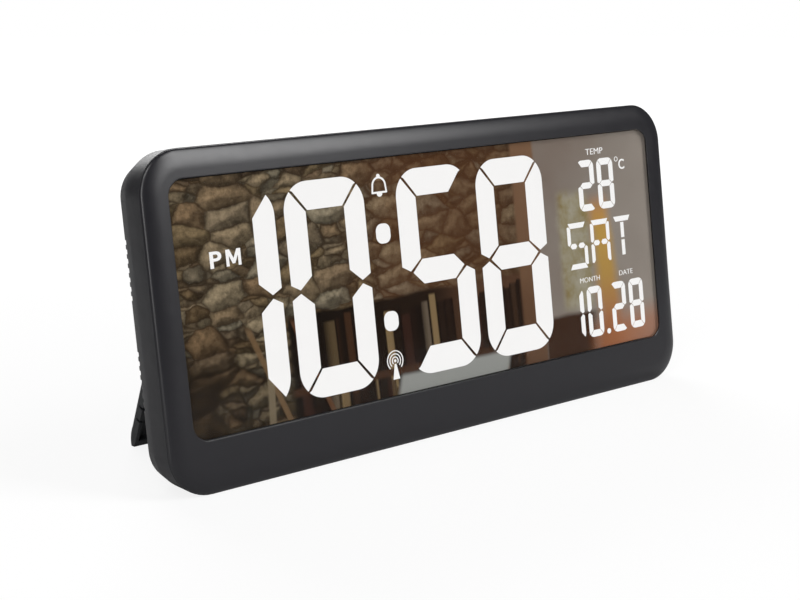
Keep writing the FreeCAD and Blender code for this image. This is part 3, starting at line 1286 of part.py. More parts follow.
def temperature_sensor():
    """The sensor's bead and its two leads."""
    x, y, z = sensor_place()
    half = SENSOR_LENGTH / 2
    bead = rod_z(x, y, z - half, z + half, SENSOR_RADIUS)
    offset = SENSOR_RADIUS / 2
    leads = [rod_z(x + s * offset, y, z - 3 * half, z - half + EPS, SENSOR_LEAD_RADIUS) for s in (-1, 1)]
    return fuse([bead] + leads)


# ---- battery -------------------------------------------------------------------------------------
def cell_places():
    """Each cell's height, and the side its nub points to: they alternate."""
    return [(BAY_Z + dz, 1 if i % 2 == 0 else -1) for i, dz in enumerate(spread(CELL_COUNT, CELL_PITCH))]


def rod_between(xa, xb, z, radius):
    """A round rod along X at the cells' depth, between two places in any order."""
    x0, x1 = sorted((xa, xb))
    return rod_x(x0, x1, CELL_Y, z, radius)


def contact_sheet(side, z):
    """The flat metal square on one end wall of the bay."""
    wall = side * BAY_HALF_W
    x0, x1 = sorted((wall, wall - side * CONTACT_SHEET))
    half = CONTACT_SIZE / 2
    return box(x0, x1, CELL_Y - half, CELL_Y + half, z - half, z + half)


def batteries():
    """The round cells, each with its contact nub."""
    cells = []
    for z, side in cell_places():
        body = rod_x(-CELL_LENGTH / 2, CELL_LENGTH / 2, CELL_Y, z, CELL_RADIUS)
        end = side * CELL_LENGTH / 2
        cells.append(fuse([body, rod_between(end - side * EPS, end + side * NUB_HEIGHT, z, NUB_RADIUS)]))
    return group(cells)


def battery_plates():
    """The flat contacts, each with a pressed dimple that meets a cell's nub."""
    plates = []
    for z, side in cell_places():
        wall = side * BAY_HALF_W
        tip = side * (CELL_LENGTH / 2 + NUB_HEIGHT)
        dimple = rod_between(wall - side * CONTACT_SHEET / 2, tip, z, NUB_RADIUS)
        plates.append(fuse([contact_sheet(side, z), dimple]))
    return group(plates)


def coil_spring(height):
    """A round wire wound in a cone, standing on Z = 0 and reaching up to height."""
    rise = height - 2 * SPRING_WIRE
    slope = math.degrees(math.atan((SPRING_TIP_RADIUS - SPRING_RADIUS) / rise))
    helix = Part.makeHelix(rise / SPRING_TURNS, rise, SPRING_RADIUS, slope)
    start = helix.Edges[0].valueAt(helix.Edges[0].FirstParameter)
    along = helix.Edges[0].tangentAt(helix.Edges[0].FirstParameter)
    section = Part.Wire(Part.makeCircle(SPRING_WIRE, start, along))
    coil = Part.Wire(helix).makePipeShell([section], True, True)
    coil.translate(Vector(0, 0, SPRING_WIRE))
    return coil


def battery_springs():
    """The sprung contacts at the cells' other ends: a coned coil on a plate."""
    springs = []
    for z, side in cell_places():
        sheet = contact_sheet(-side, z)
        coil = coil_spring(CONTACT_SPACE - CONTACT_SHEET + PILOT_PLAY)
        coil.rotate(Vector(0, 0, 0), Vector(0, 1, 0), 90 * side)
        coil.translate(Vector(-side * (BAY_HALF_W - CONTACT_SHEET + PILOT_PLAY), CELL_Y, z))
        springs.append(fuse([sheet, coil]))
    return group(springs)


def battery_door():
    """The lift-off lid, flush with the back, with a ribbed thumb rest."""
    door = block_at(0, BAY_Z, 2 * DOOR_HALF_W, 2 * DOOR_HALF_H, LEDGE_Y, BACK_Y)
    ribs = []
    for dz in spread(DOOR_GRIP_COUNT, DOOR_GRIP_PITCH):
        z = BAY_Z - DOOR_HALF_H + DOOR_GRIP_COUNT * DOOR_GRIP_PITCH + dz
        y0, y1 = BACK_Y - DOOR_GRIP_DEPTH, BACK_Y + EPS
        ribs.append(block_at(0, z, DOOR_GRIP_WIDTH, DOOR_GRIP_PITCH / 2, y0, y1))
    return door.cut(ribs)


# ---- legs ----------------------------------------------------------------------------------------
def leg_length():
    """From the hinge to the foot, so that the open leg stands on the table with the leaning case."""
    opening, slope = math.radians(LEG_OPEN_DEG), math.tan(math.radians(LEAN_DEG))
    return (LEG_PIN_Z - LEG_PIN_Y * slope) / (math.cos(opening) + math.sin(opening) * slope)


def leg_heel():
    """How far the leg reaches above its hinge: open, this heel rests on the pocket's upper wall."""
    opening = math.radians(LEG_OPEN_DEG)
    return (POCKET_RISE - LEG_STOP_GAP - LEG_THICKNESS * math.sin(opening)) / math.cos(opening)


def leg_profile(tip_z):
    """The folded leg's side outline, as a face at X = 0: flat outer skin, round heel, foot land."""
    land = math.tan(math.radians(LEG_OPEN_DEG - LEAN_DEG)) * LEG_FOOT_LAND
    y_in, y_land, y_out = LEG_PIN_Y, LEG_PIN_Y + LEG_FOOT_LAND, BACK_Y
    low_z, heel_z = tip_z - land, tip_z + LEG_HEEL_HEIGHT
    middle = Vector(0, y_out - 0.26 * (y_out - y_land), low_z + 0.32 * (heel_z - low_z))
    foot, heel = Vector(0, y_land, low_z), Vector(0, y_out, heel_z)
    top = Vector(0, y_out, LEG_PIN_Z + leg_heel())
    hinge, tip = Vector(0, y_in, LEG_PIN_Z), Vector(0, y_in, tip_z)
    edges = [Part.makeLine(hinge, tip), Part.makeLine(tip, foot), Part.Arc(foot, middle, heel).toShape()]
    edges += [Part.makeLine(heel, top), Part.makeLine(top, hinge)]
    return Part.Face(Part.Wire(edges))


def leg_plan(inset, y0, y1, tip_z):
    """The leg as seen from behind, tapered from foot to hinge, as a block longer than the leg."""
    top, foot = LEG_TOP_WIDTH / 2 - inset, LEG_FOOT_WIDTH / 2 - inset
    slope = (foot - top) / (LEG_PIN_Z - tip_z)
    over = LEG_HEEL_HEIGHT
    low, high = foot + slope * over, top - slope * over
    z_low, z_top = tip_z - over, LEG_PIN_Z + over
    return polygon_slab([(-low, z_low), (low, z_low), (high, z_top), (-high, z_top)], y0, y1)


def right_leg():
    """A hollow leg, open towards the case, in its opened position."""
    tip_z = LEG_PIN_Z - leg_length()
    half = LEG_FOOT_WIDTH / 2
    far_y = BACK_Y + LEG_THICKNESS
    body = leg_profile(tip_z).extrude(Vector(2 * half, 0, 0))
    body.translate(Vector(-half, 0, 0))
    body = body.common(leg_plan(0.0, 0, far_y, tip_z))
    floor_y = BACK_Y - LEG_SKIN
    hollow_top = LEG_PIN_Z - LEG_BARREL_RADIUS - LEG_RIB
    hollow = leg_plan(LEG_FLANGE, 0, floor_y, tip_z)
    body = body.cut(hollow.common(box(-half, half, 0, far_y, tip_z + 1.5 * LEG_FLANGE, hollow_top)))
    ribs = []
    rib_plan = leg_plan(LEG_FLANGE / 2, LEG_PIN_Y + LEG_RIB_SINK, BACK_Y - LEG_SKIN / 2, tip_z)
    z = tip_z + LEG_RIB_PITCH
    while z < hollow_top - LEG_RIB_PITCH / 2:
        ribs.append(rib_plan.common(box(-half, half, 0, far_y, z - LEG_RIB / 2, z + LEG_RIB / 2)))
        z += LEG_RIB_PITCH
    barrel = rod_x(-LEG_TOP_WIDTH / 2, LEG_TOP_WIDTH / 2, LEG_PIN_Y, LEG_PIN_Z, LEG_BARREL_RADIUS)
    body = body.fuse(ribs + [barrel])
    cuts = [rod_x(-half, half, LEG_PIN_Y, LEG_PIN_Z, LEG_PIN_RADIUS + LEG_PIN_PLAY)]
    for dz in spread(2, LEG_NOTCH_PITCH):
        z = tip_z + LEG_NOTCH_RISE + dz
        cuts.append(box(-half, half, 0, floor_y, z - LEG_NOTCH / 2, z + LEG_NOTCH / 2))
    body = body.cut(cuts)
    body.rotate(Vector(0, LEG_PIN_Y, LEG_PIN_Z), Vector(1, 0, 0), LEG_OPEN_DEG)
    body.translate(Vector(LEG_CENTRE_X, 0, 0))
    return body


def leg_pins():
    """The steel hinge pins, held in the pocket walls."""
    x0, x1 = pin_span()
    return group(both_sides([rod_x(x0, x1, LEG_PIN_Y, LEG_PIN_Z, LEG_PIN_RADIUS)]))


# ---- screws --------------------------------------------------------------------------------------
def screw(x, z, seat_y, length, way, radius, head_radius, head_height):
    """A pan-head screw along Y whose head sits on seat_y and whose shank points way. The head has a cross."""
    shank0, shank1 = sorted((seat_y, seat_y + way * length))
    head0, head1 = sorted((seat_y, seat_y - way * head_height))
    shank = rod_y(x, z, shank0, shank1, radius)
    head = rod_y(x, z, head0, head1, head_radius)
    arm, slot = 1.2 * head_radius, 0.24 * head_radius
    top0, top1 = sorted((seat_y - way * head_height, seat_y - way * head_height / 2))
    cross = [block_at(x, z, arm, slot, top0, top1), block_at(x, z, slot, arm, top0, top1)]
    return shank.fuse(head).cut(cross)


def small_screw(x, z, seat_y, length, way):
    """A small pan-head screw."""
    return screw(x, z, seat_y, length, way, SMALL_SCREW_RADIUS, SMALL_HEAD_RADIUS, SMALL_HEAD_HEIGHT)


def case_screws():
    """The screws that close the case from behind."""
    length = BOARD_Y - BEZEL_FLOOR_Y - 2 * EPS
    head = (SCREW_RADIUS, SCREW_HEAD_RADIUS, SCREW_HEAD_HEIGHT)
    return group([screw(x, CASE_SCREW_Z, BOARD_Y, length, -1, *head) for x in CASE_SCREW_X])


def carrier_screws():
    """The screws that hold the display carrier to the bezel."""
    seat_y = REAR_GLASS_Y + CARRIER_TAB
    length = min(SCREW_BITE, seat_y - BEZEL_FLOOR_Y - EPS)
    return group([small_screw(x, z, seat_y, length, -1) for x, z in carrier_tabs()])


def board_screws():
    """The screws of the main board, the key board and the receiver board."""
    length = BOARD_THICKNESS + SCREW_BITE
    screws = [small_screw(x, BOARD_SCREW_Z, BOARD_BACK_Y, length, -1) for x in board_screw_x()]
    key_length = BACK_INNER_Y - KEY_BOARD_Y - EPS
    screws += [small_screw(x, z, KEY_BOARD_Y, key_length, 1) for x, z in key_board_posts()]
    seat_y, length = RECEIVER_Y - RECEIVER_BOARD, RECEIVER_BOARD + RECEIVER_POST - EPS
    screws += [small_screw(x, z, seat_y, length, 1) for x, z in receiver_posts()]
    return group(screws)


# ---- the whole clock -----------------------------------------------------------------------------
def upright_nodes():
    """Every node by name, in the case's own upright frame."""
    makers = (
        front_bezel, rear_cover, front_window, window_tape, mirror_film, time_digits, time_colon,
        temperature_digits, weekday_letters, date_digits, display_labels, alarm_icon, signal_icon,
        lcd_front_glass, lcd_rear_glass, rear_polariser, diffuser_sheet, light_guide, reflector_sheet,
        led_strips, backlight_leds, display_carrier, zebra_strip, main_board, display_driver, clock_chip,
        quartz_crystal, board_capacitors, key_board, tact_switches, switch_housing, brightness_slider,
        power_inlet, receiver_board, ferrite_rod, antenna_coil, sound_disc, temperature_sensor, batteries,
        battery_plates, battery_springs, battery_door, case_screws, carrier_screws, board_screws, leg_pins,
        right_leg,
    )
    nodes = {maker.__name__: maker() for maker in makers}
    nodes["left_leg"] = mirrored(nodes["right_leg"])
    for i, name in enumerate(KEY_NAMES):
        nodes[name] = push_button(i)
    return nodes


def lean_back(shape):
    """The shape leaning back about the case's lower front edge."""
    leaned = shape.copy()
    leaned.rotate(Vector(0, 0, 0), Vector(1, 0, 0), -LEAN_DEG)
    return leaned


def main():
    os.makedirs("parts", exist_ok=True)
    placed = {name: lean_back(shape) for name, shape in upright_nodes().items()}
    whole = Part.makeCompound(list(placed.values())).optimalBoundingBox()
    shift = Vector(0, -(whole.YMin + whole.YMax) / 2, -whole.ZMin)
    for name, shape in placed.items():
        shape.translate(shift)
        shape.exportStep(os.path.join("parts", name + ".step"))
    print("whole clock", whole.XLength, whole.YLength, whole.ZLength, "moved back by", shift.y)


if __name__ == "__main__":
    main()
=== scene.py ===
import json
import math

import bmesh
import bpy
from bpy.props import FloatProperty, FloatVectorProperty, IntProperty, PointerProperty
from mathutils import Matrix, Vector


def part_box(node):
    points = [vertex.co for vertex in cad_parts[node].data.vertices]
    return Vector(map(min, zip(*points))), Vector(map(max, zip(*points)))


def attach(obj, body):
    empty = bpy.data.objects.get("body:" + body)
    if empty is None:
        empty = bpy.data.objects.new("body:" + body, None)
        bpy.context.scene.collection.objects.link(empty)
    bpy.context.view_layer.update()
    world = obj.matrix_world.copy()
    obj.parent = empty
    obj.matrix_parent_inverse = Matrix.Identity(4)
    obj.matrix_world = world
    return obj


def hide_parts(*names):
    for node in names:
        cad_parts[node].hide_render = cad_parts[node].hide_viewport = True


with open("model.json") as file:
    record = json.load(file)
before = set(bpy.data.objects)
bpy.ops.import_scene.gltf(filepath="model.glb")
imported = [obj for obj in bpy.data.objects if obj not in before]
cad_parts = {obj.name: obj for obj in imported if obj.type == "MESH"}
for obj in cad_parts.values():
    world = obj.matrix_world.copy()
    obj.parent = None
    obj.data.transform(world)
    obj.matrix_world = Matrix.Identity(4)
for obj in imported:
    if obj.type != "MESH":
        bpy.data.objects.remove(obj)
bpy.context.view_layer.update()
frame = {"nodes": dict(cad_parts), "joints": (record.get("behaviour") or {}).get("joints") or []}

bl_info = {
    "name": "Large-digit day clock",
    "version": (1, 0, 0),
    "blender": (4, 5, 0),
    "location": "3D View > Sidebar > Day clock",
    "description": "Dresses the packed day clock with its bezel, finishes, display picture and studio",
    "category": "Object",
}

MM = 0.001
JOINTS = {joint["name"]: joint for joint in frame["joints"]}

# The case leans back: its own +Y is the battery door's way out. Its origin is the middle of its lower
# edge on the parting plane, found from the mirror film, whose middle is this many mm up the case.
WINDOW_MIDDLE = 91.1
CASE_BACK = Vector(JOINTS["battery_door_lift"]["axis"])
LEAN = math.atan2(-CASE_BACK.z, CASE_BACK.y)
LEAN_BACK = Matrix.Rotation(-LEAN, 4, "X")
FILM_LOW, FILM_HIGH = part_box("mirror_film")
CASE_ORIGIN = (FILM_LOW + FILM_HIGH) / 2 - LEAN_BACK @ Vector((0.0, 0.0, WINDOW_MIDDLE * MM))
CASE_TO_ROW = Matrix.Translation(CASE_ORIGIN) @ LEAN_BACK
REAR_LOW, REAR_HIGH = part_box("rear_cover")


def shade(red, green, blue):
    """A linear colour from the three display levels, 0 to 255, that it shows as."""
    def linear(level):
        share = level / 255
        return share / 12.92 if share <= 0.04045 else ((share + 0.055) / 1.055) ** 2.4
    return (linear(red), linear(green), linear(blue))


def grey(level):
    """A neutral linear colour from one display level."""
    return shade(level, level, level)


def scaled(rgb, factor):
    """A colour made lighter or darker."""
    return tuple(min(1.0, part * factor) for part in rgb)


def stops(*entries):
    """A colour ramp's stops, from entries of a position and one grey or three colour levels."""
    return [(at, shade(*levels) if len(levels) == 3 else grey(*levels)) for at, *levels in entries]


# ---- settings a user would change ----
def length(name, description, default):
    """A length in metres."""
    return FloatProperty(name=name, description=description, default=default, unit="LENGTH", precision=5)


def colour(name, description, default):
    """A linear colour."""
    return FloatVectorProperty(name=name, description=description, default=default, subtype="COLOR", size=3,
                               min=0.0, max=1.0)


class DayClockSizes(bpy.types.PropertyGroup):
    """Sizes of the pieces that are shaped here."""
    case_width: length("Case width", "Outer width of the case", REAR_HIGH.x - REAR_LOW.x)
    case_height: length("Case height", "Outer height of the case, along its front", 170 * MM)
    corner_radius: length("Corner radius", "Radius of the case's corners", 23 * MM)
    side_band: length("Side band", "Width of the bezel beside the window", 14.5 * MM)
    top_band: length("Top band", "Width of the bezel above the window", 14.8 * MM)
    bottom_band: length("Bottom band", "Width of the bezel below the window", 27 * MM)
    window_radius: length("Window radius", "Radius of the window's corners", 9 * MM)
    crown_height: length("Crown height", "How far the bezel stands in front of the parting plane", 2.9 * MM)
    crown_reach: length("Crown reach", "How far in the bezel's round front edge goes", 10.5 * MM)
    parting_step: length("Parting step", "How far the bezel's edge stands in from the rear cover", 0.3 * MM)
    lip_thickness: length("Lip thickness", "Thickness of the bezel in front of the window sheet", 0.9 * MM)
    lip_edge: length("Lip edge", "Radius of the edge round the window", 0.25 * MM)
    crown_steps: IntProperty(name="Crown steps", description="Loops over the bezel's round edge", default=18,
                             min=4)
    corner_steps: IntProperty(name="Corner steps", description="Faces round each corner", default=24, min=4)


class DayClockColours(bpy.types.PropertyGroup):
    """Colours of the finishes."""
    case: colour("Case", "Moulded case, front and back", shade(22, 21, 26))
    legs: colour("Legs", "Moulded legs", shade(30, 31, 33))
    keys: colour("Keys", "Push buttons and slider", shade(38, 39, 42))
    lit: colour("Lit parts", "Light of the figures and words", shade(250, 249, 248))
    # The stones, joints and wall below are colours of the painted reflection on the mirror film
    stone_dark: colour("Dark stones", "Darkest stones in the mirror picture", shade(102, 86, 66))
    stone_light: colour("Light stones", "Lightest stones in the mirror picture", shade(166, 155, 132))
    joint: colour("Joints", "Joints between the stones", shade(42, 32, 23))
    wall: colour("Wall", "Plain wall in the mirror picture", shade(124, 116, 108))
    board: colour("Boards", "Solder mask of the circuit boards", shade(28, 84, 52))
    floor: colour("Floor", "Floor of the studio", grey(198))


def settings():
    """The user's sizes and colours."""
    scene = bpy.context.scene
    return scene.day_clock_sizes, scene.day_clock_colours


# ---- node trees ----
class Value:
    """What a node gives. Python's operators on it add Math nodes."""

    def __init__(self, nodes, socket):
        self.nodes = nodes
        self.socket = socket

    def maths(self, operation, *others, first=None):
        """A Math node on this value and others; first is put before them."""
        values = ([] if first is None else [first]) + [self] + list(others)
        return self.nodes.add("ShaderNodeMath", {"operation": operation}, dict(enumerate(values)))

    def __add__(self, other):
        return self.maths("ADD", other)

    __radd__ = __add__

    def __sub__(self, other):
        return self.maths("SUBTRACT", other)

    def __rsub__(self, other):
        return self.maths("SUBTRACT", first=other)

    def __mul__(self, other):
        return self.maths("MULTIPLY", other)

    __rmul__ = __mul__

    def __truediv__(self, other):
        return self.maths("DIVIDE", other)

    def __rtruediv__(self, other):
        return self.maths("DIVIDE", first=other)

    def above(self, edge, soft):
        """0 below edge - soft, 1 above edge + soft, smooth between."""
        return self.nodes.add("ShaderNodeMapRange", {"interpolation_type": "SMOOTHSTEP"},
                              {"Value": self, "From Min": edge - soft, "From Max": edge + soft})

    def below(self, edge, soft):
        """1 below the edge and 0 above it."""
        return 1 - self.above(edge, soft)

    def between(self, low, high, soft):
        """1 between two edges, smooth at both."""
        return self.above(low, soft) * self.below(high, soft)

    def lift(self, low, high):
        """This value, 0 to 1, moved to between low and high."""
        return self * (high - low) + low


class Nodes:
    """A node tree in the making."""

    def __init__(self, tree):
        self.tree = tree

    def add(self, kind, settings=None, inputs=None, output=0):
        """A node of that type: its settings first, then its sockets' values or links. Gives one output."""
        node = self.tree.nodes.new(kind)
        for key, value in (settings or {}).items():
            if key == "stops":
                self.set_stops(node.color_ramp, value)
            else:
                setattr(node, key, value)
        for key, value in (inputs or {}).items():
            self.feed(node.inputs[key], value)
        return Value(self, node.outputs[output]) if node.outputs else None

    def set_stops(self, ramp, entries):
        """Gives a colour ramp its stops, as (position, colour)."""
        while len(ramp.elements) < len(entries):
            ramp.elements.new(0.5)
        for element, (position, rgb) in zip(ramp.elements, entries):
            element.position = position
            element.color = (*rgb, 1.0)

    def feed(self, socket, value):
        """Links a socket, or sets its value."""
        if isinstance(value, Value):
            self.tree.links.new(value.socket, socket)
        elif socket.type == "RGBA" and len(value) == 3:
            socket.default_value = (*value, 1.0)
        else:
            socket.default_value = value


class Finish(Nodes):
    """One material in the making."""

    def __init__(self, name):
        self.material = bpy.data.materials.new(name)
        self.material.use_nodes = True
        super().__init__(self.material.node_tree)
        self.tree.nodes.clear()

    def place(self):
        """Object coordinates in the row's frame, in metres."""
        return self.add("ShaderNodeTexCoord", output="Object")

    def case_place(self):
        """Object coordinates turned upright, as three values in millimetres from the case's origin."""
        return self.split(self.add("ShaderNodeMapping", {"vector_type": "POINT"}, {
            "Vector": self.place(),
            "Location": LEAN_BACK.inverted() @ CASE_ORIGIN * (-1 / MM),
            "Rotation": (LEAN, 0.0, 0.0),
            "Scale": (1 / MM, 1 / MM, 1 / MM),
        }))

    def split(self, vector):
        """The three parts of a vector."""
        node = self.add("ShaderNodeSeparateXYZ", inputs={0: vector}).socket.node
        return [Value(self, socket) for socket in node.outputs]

    def join(self, x, y, z):
        """A vector from three values."""
        return self.add("ShaderNodeCombineXYZ", inputs={0: x, 1: y, 2: z})

    def noise(self, vector, scale, detail=3.0, rough=0.55, seed=0.0):
        """Even noise about 0.5."""
        return self.add("ShaderNodeTexNoise", {"noise_dimensions": "4D"}, {
            "Vector": vector, "W": seed, "Scale": scale, "Detail": detail, "Roughness": rough,
        })

    def cells(self, feature, vector, scale=1.0, randomness=0.8, output=0, dimensions="2D"):
        """Voronoi cells: the distance to their edges, or a colour for each."""
        return self.add("ShaderNodeTexVoronoi", {"feature": feature, "voronoi_dimensions": dimensions},
                        {"Vector": vector, "Scale": scale, "Randomness": randomness}, output)

    def mix(self, share, first, second, blend="MIX"):
        """Two colours mixed by a share, or blended."""
        return self.add("ShaderNodeMix", {"data_type": "RGBA", "blend_type": blend},
                        {0: share, 6: first, 7: second}, output=2)

    def times(self, first, second):
        """Two colours multiplied."""
        return self.mix(1.0, first, second, "MULTIPLY")

    def vary(self, share, rgb, low, high):
        """A colour made lighter or darker by a share, between two factors."""
        return self.mix(share, scaled(rgb, low), scaled(rgb, high))

    def ramp(self, value, entries, interpolation="LINEAR"):
        """A colour ramp."""
        result = self.add("ShaderNodeValToRGB", {"stops": entries}, {0: value})
        result.socket.node.color_ramp.interpolation = interpolation
        return result

    def bump(self, height, strength, distance):
        """A normal from a height, with its distance in millimetres."""
        return self.add("ShaderNodeBump",
                        inputs={"Height": height, "Strength": strength, "Distance": distance * MM})

    def done(self, shader):
        """Puts the shader on the output, and gives the material."""
        self.add("ShaderNodeOutputMaterial", inputs={"Surface": shader})
        self.material.diffuse_color = (*grey(60), 1.0)
        return self.material

    def skin(self, **sockets):
        """Ends in the Principled shader, with its sockets named with _ for a space. Gives the material."""
        inputs = {key.replace("_", " "): value for key, value in sockets.items()}
        return self.done(self.add("ShaderNodeBsdfPrincipled", inputs=inputs))


class Tree(Nodes):
    """A geometry node tree in the making, with named inputs."""

    def __init__(self, name, inputs):
        super().__init__(bpy.data.node_groups.new(name, "GeometryNodeTree"))
        face = self.tree.interface
        face.new_socket("Geometry", in_out="OUTPUT", socket_type="NodeSocketGeometry")
        self.keys = {}
        for label, kind in inputs:
            socket = face.new_socket(label, in_out="INPUT", socket_type="NodeSocket" + kind)
            self.keys[label] = socket.identifier
        self.start = self.add("NodeGroupInput").socket.node

    def feed(self, socket, value):
        """Links a socket, here also to one of the tree's inputs by its name, or sets its value."""
        if isinstance(value, str):
            value = Value(self, self.start.outputs[value])
        super().feed(socket, value)

    def finish(self, geometry):
        """Ends the tree: instances are made real and take the material."""
        real = self.add("GeometryNodeRealizeInstances", inputs={"Geometry": geometry})
        last = self.add("GeometryNodeSetMaterial", inputs={"Geometry": real, "Material": "Material"})
        self.add("NodeGroupOutput", inputs={0: last})
        return self

    def grow(self, name, points, values):
        """Runs the tree over a mesh of points, and gives the plain mesh that results."""
        seat = bpy.data.meshes.new(name)
        seat.from_pydata([tuple(point) for point in points], [], [])
        host = linked(name, seat)
        modifier = host.modifiers.new("grow", "NODES")
        modifier.node_group = self.tree
        for label, value in values.items():
            modifier[self.keys[label]] = value
        result = evaluated_mesh(host)
        host.modifiers.clear()
        discard(host)
        return result


# ---- materials ----
def moulded_plastic(name, rgb, rough=0.46, grain=0.10):
    """Moulded plastic: a fine eroded grain, slight clouding of the colour, and an uneven sheen."""
    finish = Finish(name)
    place = finish.place()
    clouds = finish.noise(place, 38.0, 2.0)
    fine = finish.noise(place, 2600.0, 2.0, 0.6, 3.0)
    sheen = finish.noise(place, 160.0, 3.0, 0.5, 7.0)
    return finish.skin(
        Base_Color=finish.vary(clouds, rgb, 0.94, 1.06),
        Roughness=sheen.lift(rough - 0.05, rough + 0.05),
        Specular_IOR_Level=0.55,
        Normal=finish.bump(fine, grain, 0.1),
    )


def satin_metal(name, rgb, rough=0.32):
    """Plated or drawn metal with fine scratches and dull patches."""
    finish = Finish(name)
    place = finish.place()
    dull = finish.noise(place, 420.0, 3.0)
    scratch = finish.noise(place, 2400.0, 2.0, 0.7, 5.0)
    return finish.skin(
        Base_Color=finish.vary(dull, rgb, 0.86, 1.08),
        Metallic=1.0,
        Roughness=dull.lift(rough - 0.08, rough + 0.12),
        Normal=finish.bump(scratch, 0.08, 0.05),
    )


def enamelled_wire(name, rgb):
    """Copper wire under clear enamel, with slight changes of shade from turn to turn."""
    finish = Finish(name)
    x, _, _ = finish.case_place()
    turn = finish.noise(finish.join(x * 2.3, 0.0, 0.0), 1.0, 2.0, 0.5, 2.0)
    return finish.skin(
        Base_Color=finish.vary(turn, rgb, 0.75, 1.1),
        Metallic=1.0,
        Roughness=turn.lift(0.24, 0.36),
        Coat_Weight=0.4,
    )


RIM_END = 162  # mm to the right, about where the painted lip shade round the window fades out


def lip_shade_line(finish, half_width, half_height, radius):
    """1 in a fine line of painted shade round the window's rim, along the bezel's lip, fading out at its right
    end.
    """
    u, _, up = finish.case_place()
    across = (u.maths("ABSOLUTE") - (half_width - radius)).maths("MAXIMUM", 0.0)
    along = ((up - WINDOW_MIDDLE).maths("ABSOLUTE") - (half_height - radius)).maths("MAXIMUM", 0.0)
    line = (across * across + along * along).maths("SQRT").above(radius - 0.45, 0.3)
    return line * u.below(RIM_END, 14.0)


def clear_sheet(name, rgb, alpha, rim=None):
    """A clear sheet, seen mostly by its gloss. A rim's sizes give it a dark line of painted shade round it,
    along the bezel's lip.
    """
    finish = Finish(name)
    haze = finish.noise(finish.place(), 60.0, 3.0)
    if rim:
        # the dark line round the rim is painted shade along the bezel's lip
        alpha = lip_shade_line(finish, *rim).lift(alpha, 0.94)
    return finish.skin(
        Base_Color=finish.vary(haze, rgb, 0.9, 1.0),
        Roughness=haze.lift(0.04, 0.08),
        Specular_IOR_Level=0.5,
        Alpha=alpha,
    )


def painted_sheet(name, rgb, rough=0.6, spread=0.05, scale=220.0):
    """A matt sheet or coating with slight unevenness."""
    finish = Finish(name)
    uneven = finish.noise(finish.place(), scale, 4.0)
    return finish.skin(
        Base_Color=finish.vary(uneven, rgb, 1 - spread, 1 + spread),
        Roughness=uneven.lift(rough - 0.06, rough + 0.06),
        Normal=finish.bump(uneven, 0.05, 0.1),
    )


# Of the dry cells, in mm: from where to where up the case the turned one lies, and, along them from the
# middle, where the pale band lies and where the wrap ends
TURNED_CELL = (88.2, 103.8)
PALE_BAND = (12.0, 15.5)
WRAP_END = 24.2


def cell_wrap(name, rgb):
    """A dry cell's printed wrap with one plain pale band by its raised end, between bare steel ends."""
    finish = Finish(name)
    x, _, z = finish.case_place()
    turned_cell = z.between(*TURNED_CELL, 0.2)
    band = (x * (1 - turned_cell * 2)).between(*PALE_BAND, 0.12)
    bare = x.maths("ABSOLUTE").above(WRAP_END, 0.12)
    wear = finish.noise(finish.place(), 500.0, 4.0)
    wrap = finish.mix(wear * 0.2, finish.mix(band, rgb, shade(176, 180, 186)), scaled(rgb, 0.6))
    return finish.skin(
        Base_Color=finish.mix(bare, wrap, shade(206, 204, 200)),
        Metallic=bare,
        Roughness=wear.lift(0.24, 0.36),
        Normal=finish.bump(wear, 0.04, 0.05),
    )


def lit_part(name, rgb):
    """Backlit white: even light with the faint cloudiness of the diffuser behind it."""
    finish = Finish(name)
    clouds = finish.noise(finish.place(), 90.0, 2.0)
    return finish.skin(
        Base_Color=grey(20),
        Roughness=0.5,
        Specular_IOR_Level=0.1,
        Emission_Color=finish.vary(clouds, rgb, 0.975, 1.0),
        Emission_Strength=1.18,
    )


def circuit_board(name, rgb):
    """Solder mask over copper, whose thin straight tracks show lighter."""
    finish = Finish(name)
    x, _, z = finish.case_place()
    tracks = finish.cells("DISTANCE_TO_EDGE", finish.join(x, 0.0, z), 0.28, 0.35, dimensions="3D")
    lines = tracks.below(0.07, 0.03)
    cloud = finish.noise(finish.place(), 300.0)
    base = finish.mix(cloud.lift(0.0, 0.25), finish.vary(lines, rgb, 1.0, 1.7), scaled(rgb, 0.7))
    return finish.skin(Base_Color=base, Roughness=0.35, Coat_Weight=0.3, Normal=finish.bump(lines, 0.15, 0.05))


# ---- the painted reflection on the mirror film: u runs to the right and v up, in mm from the window's middle ----
STONE_WIDTH = 21.5
STONE_HEIGHT = 10.4
SMALLER = 1.85  # how many times smaller the small stones are

STONES = stops((0.18, 138, 124, 99), (0.34, 156, 146, 125), (0.5, 136, 116, 92), (0.66, 148, 144, 129),
               (0.82, 122, 105, 86))
STONE_GRAIN = stops((0.34, 166), (0.64, 255))
STONE_LIGHT = stops((0.1, 160), (0.8, 255))
STONE_RIM = stops((0.02, 166), (0.24, 255))
STONE_TINT = shade(250, 243, 232)
SPINES = stops((0.0, 34, 24, 18), (0.2, 88, 58, 38), (0.34, 48, 30, 23), (0.5, 122, 102, 72),
               (0.6, 62, 40, 27), (0.78, 96, 84, 70), (0.86, 78, 36, 29), (0.93, 50, 36, 26))
SPINE_GAP = shade(24, 17, 13)
SHADOW = stops((0.0, 255), (0.12, 248), (0.3, 216), (0.5, 196))
HOLLOW = stops((0.1, 24, 18, 13), (0.6, 34, 24, 17), (0.95, 74, 52, 38))
POST = stops((0.1, 66, 43, 30), (0.8, 112, 85, 64))
COLUMN = stops((0.3, 122, 106, 60), (0.5, 140, 133, 108), (0.7, 154, 150, 134))
STREAK = stops((0.05, 156, 100, 54), (0.3, 166, 128, 52), (0.55, 176, 138, 52), (0.85, 168, 104, 60))
GLOW = stops((0.05, 132, 78, 44), (0.5, 150, 96, 64), (0.9, 146, 106, 86))
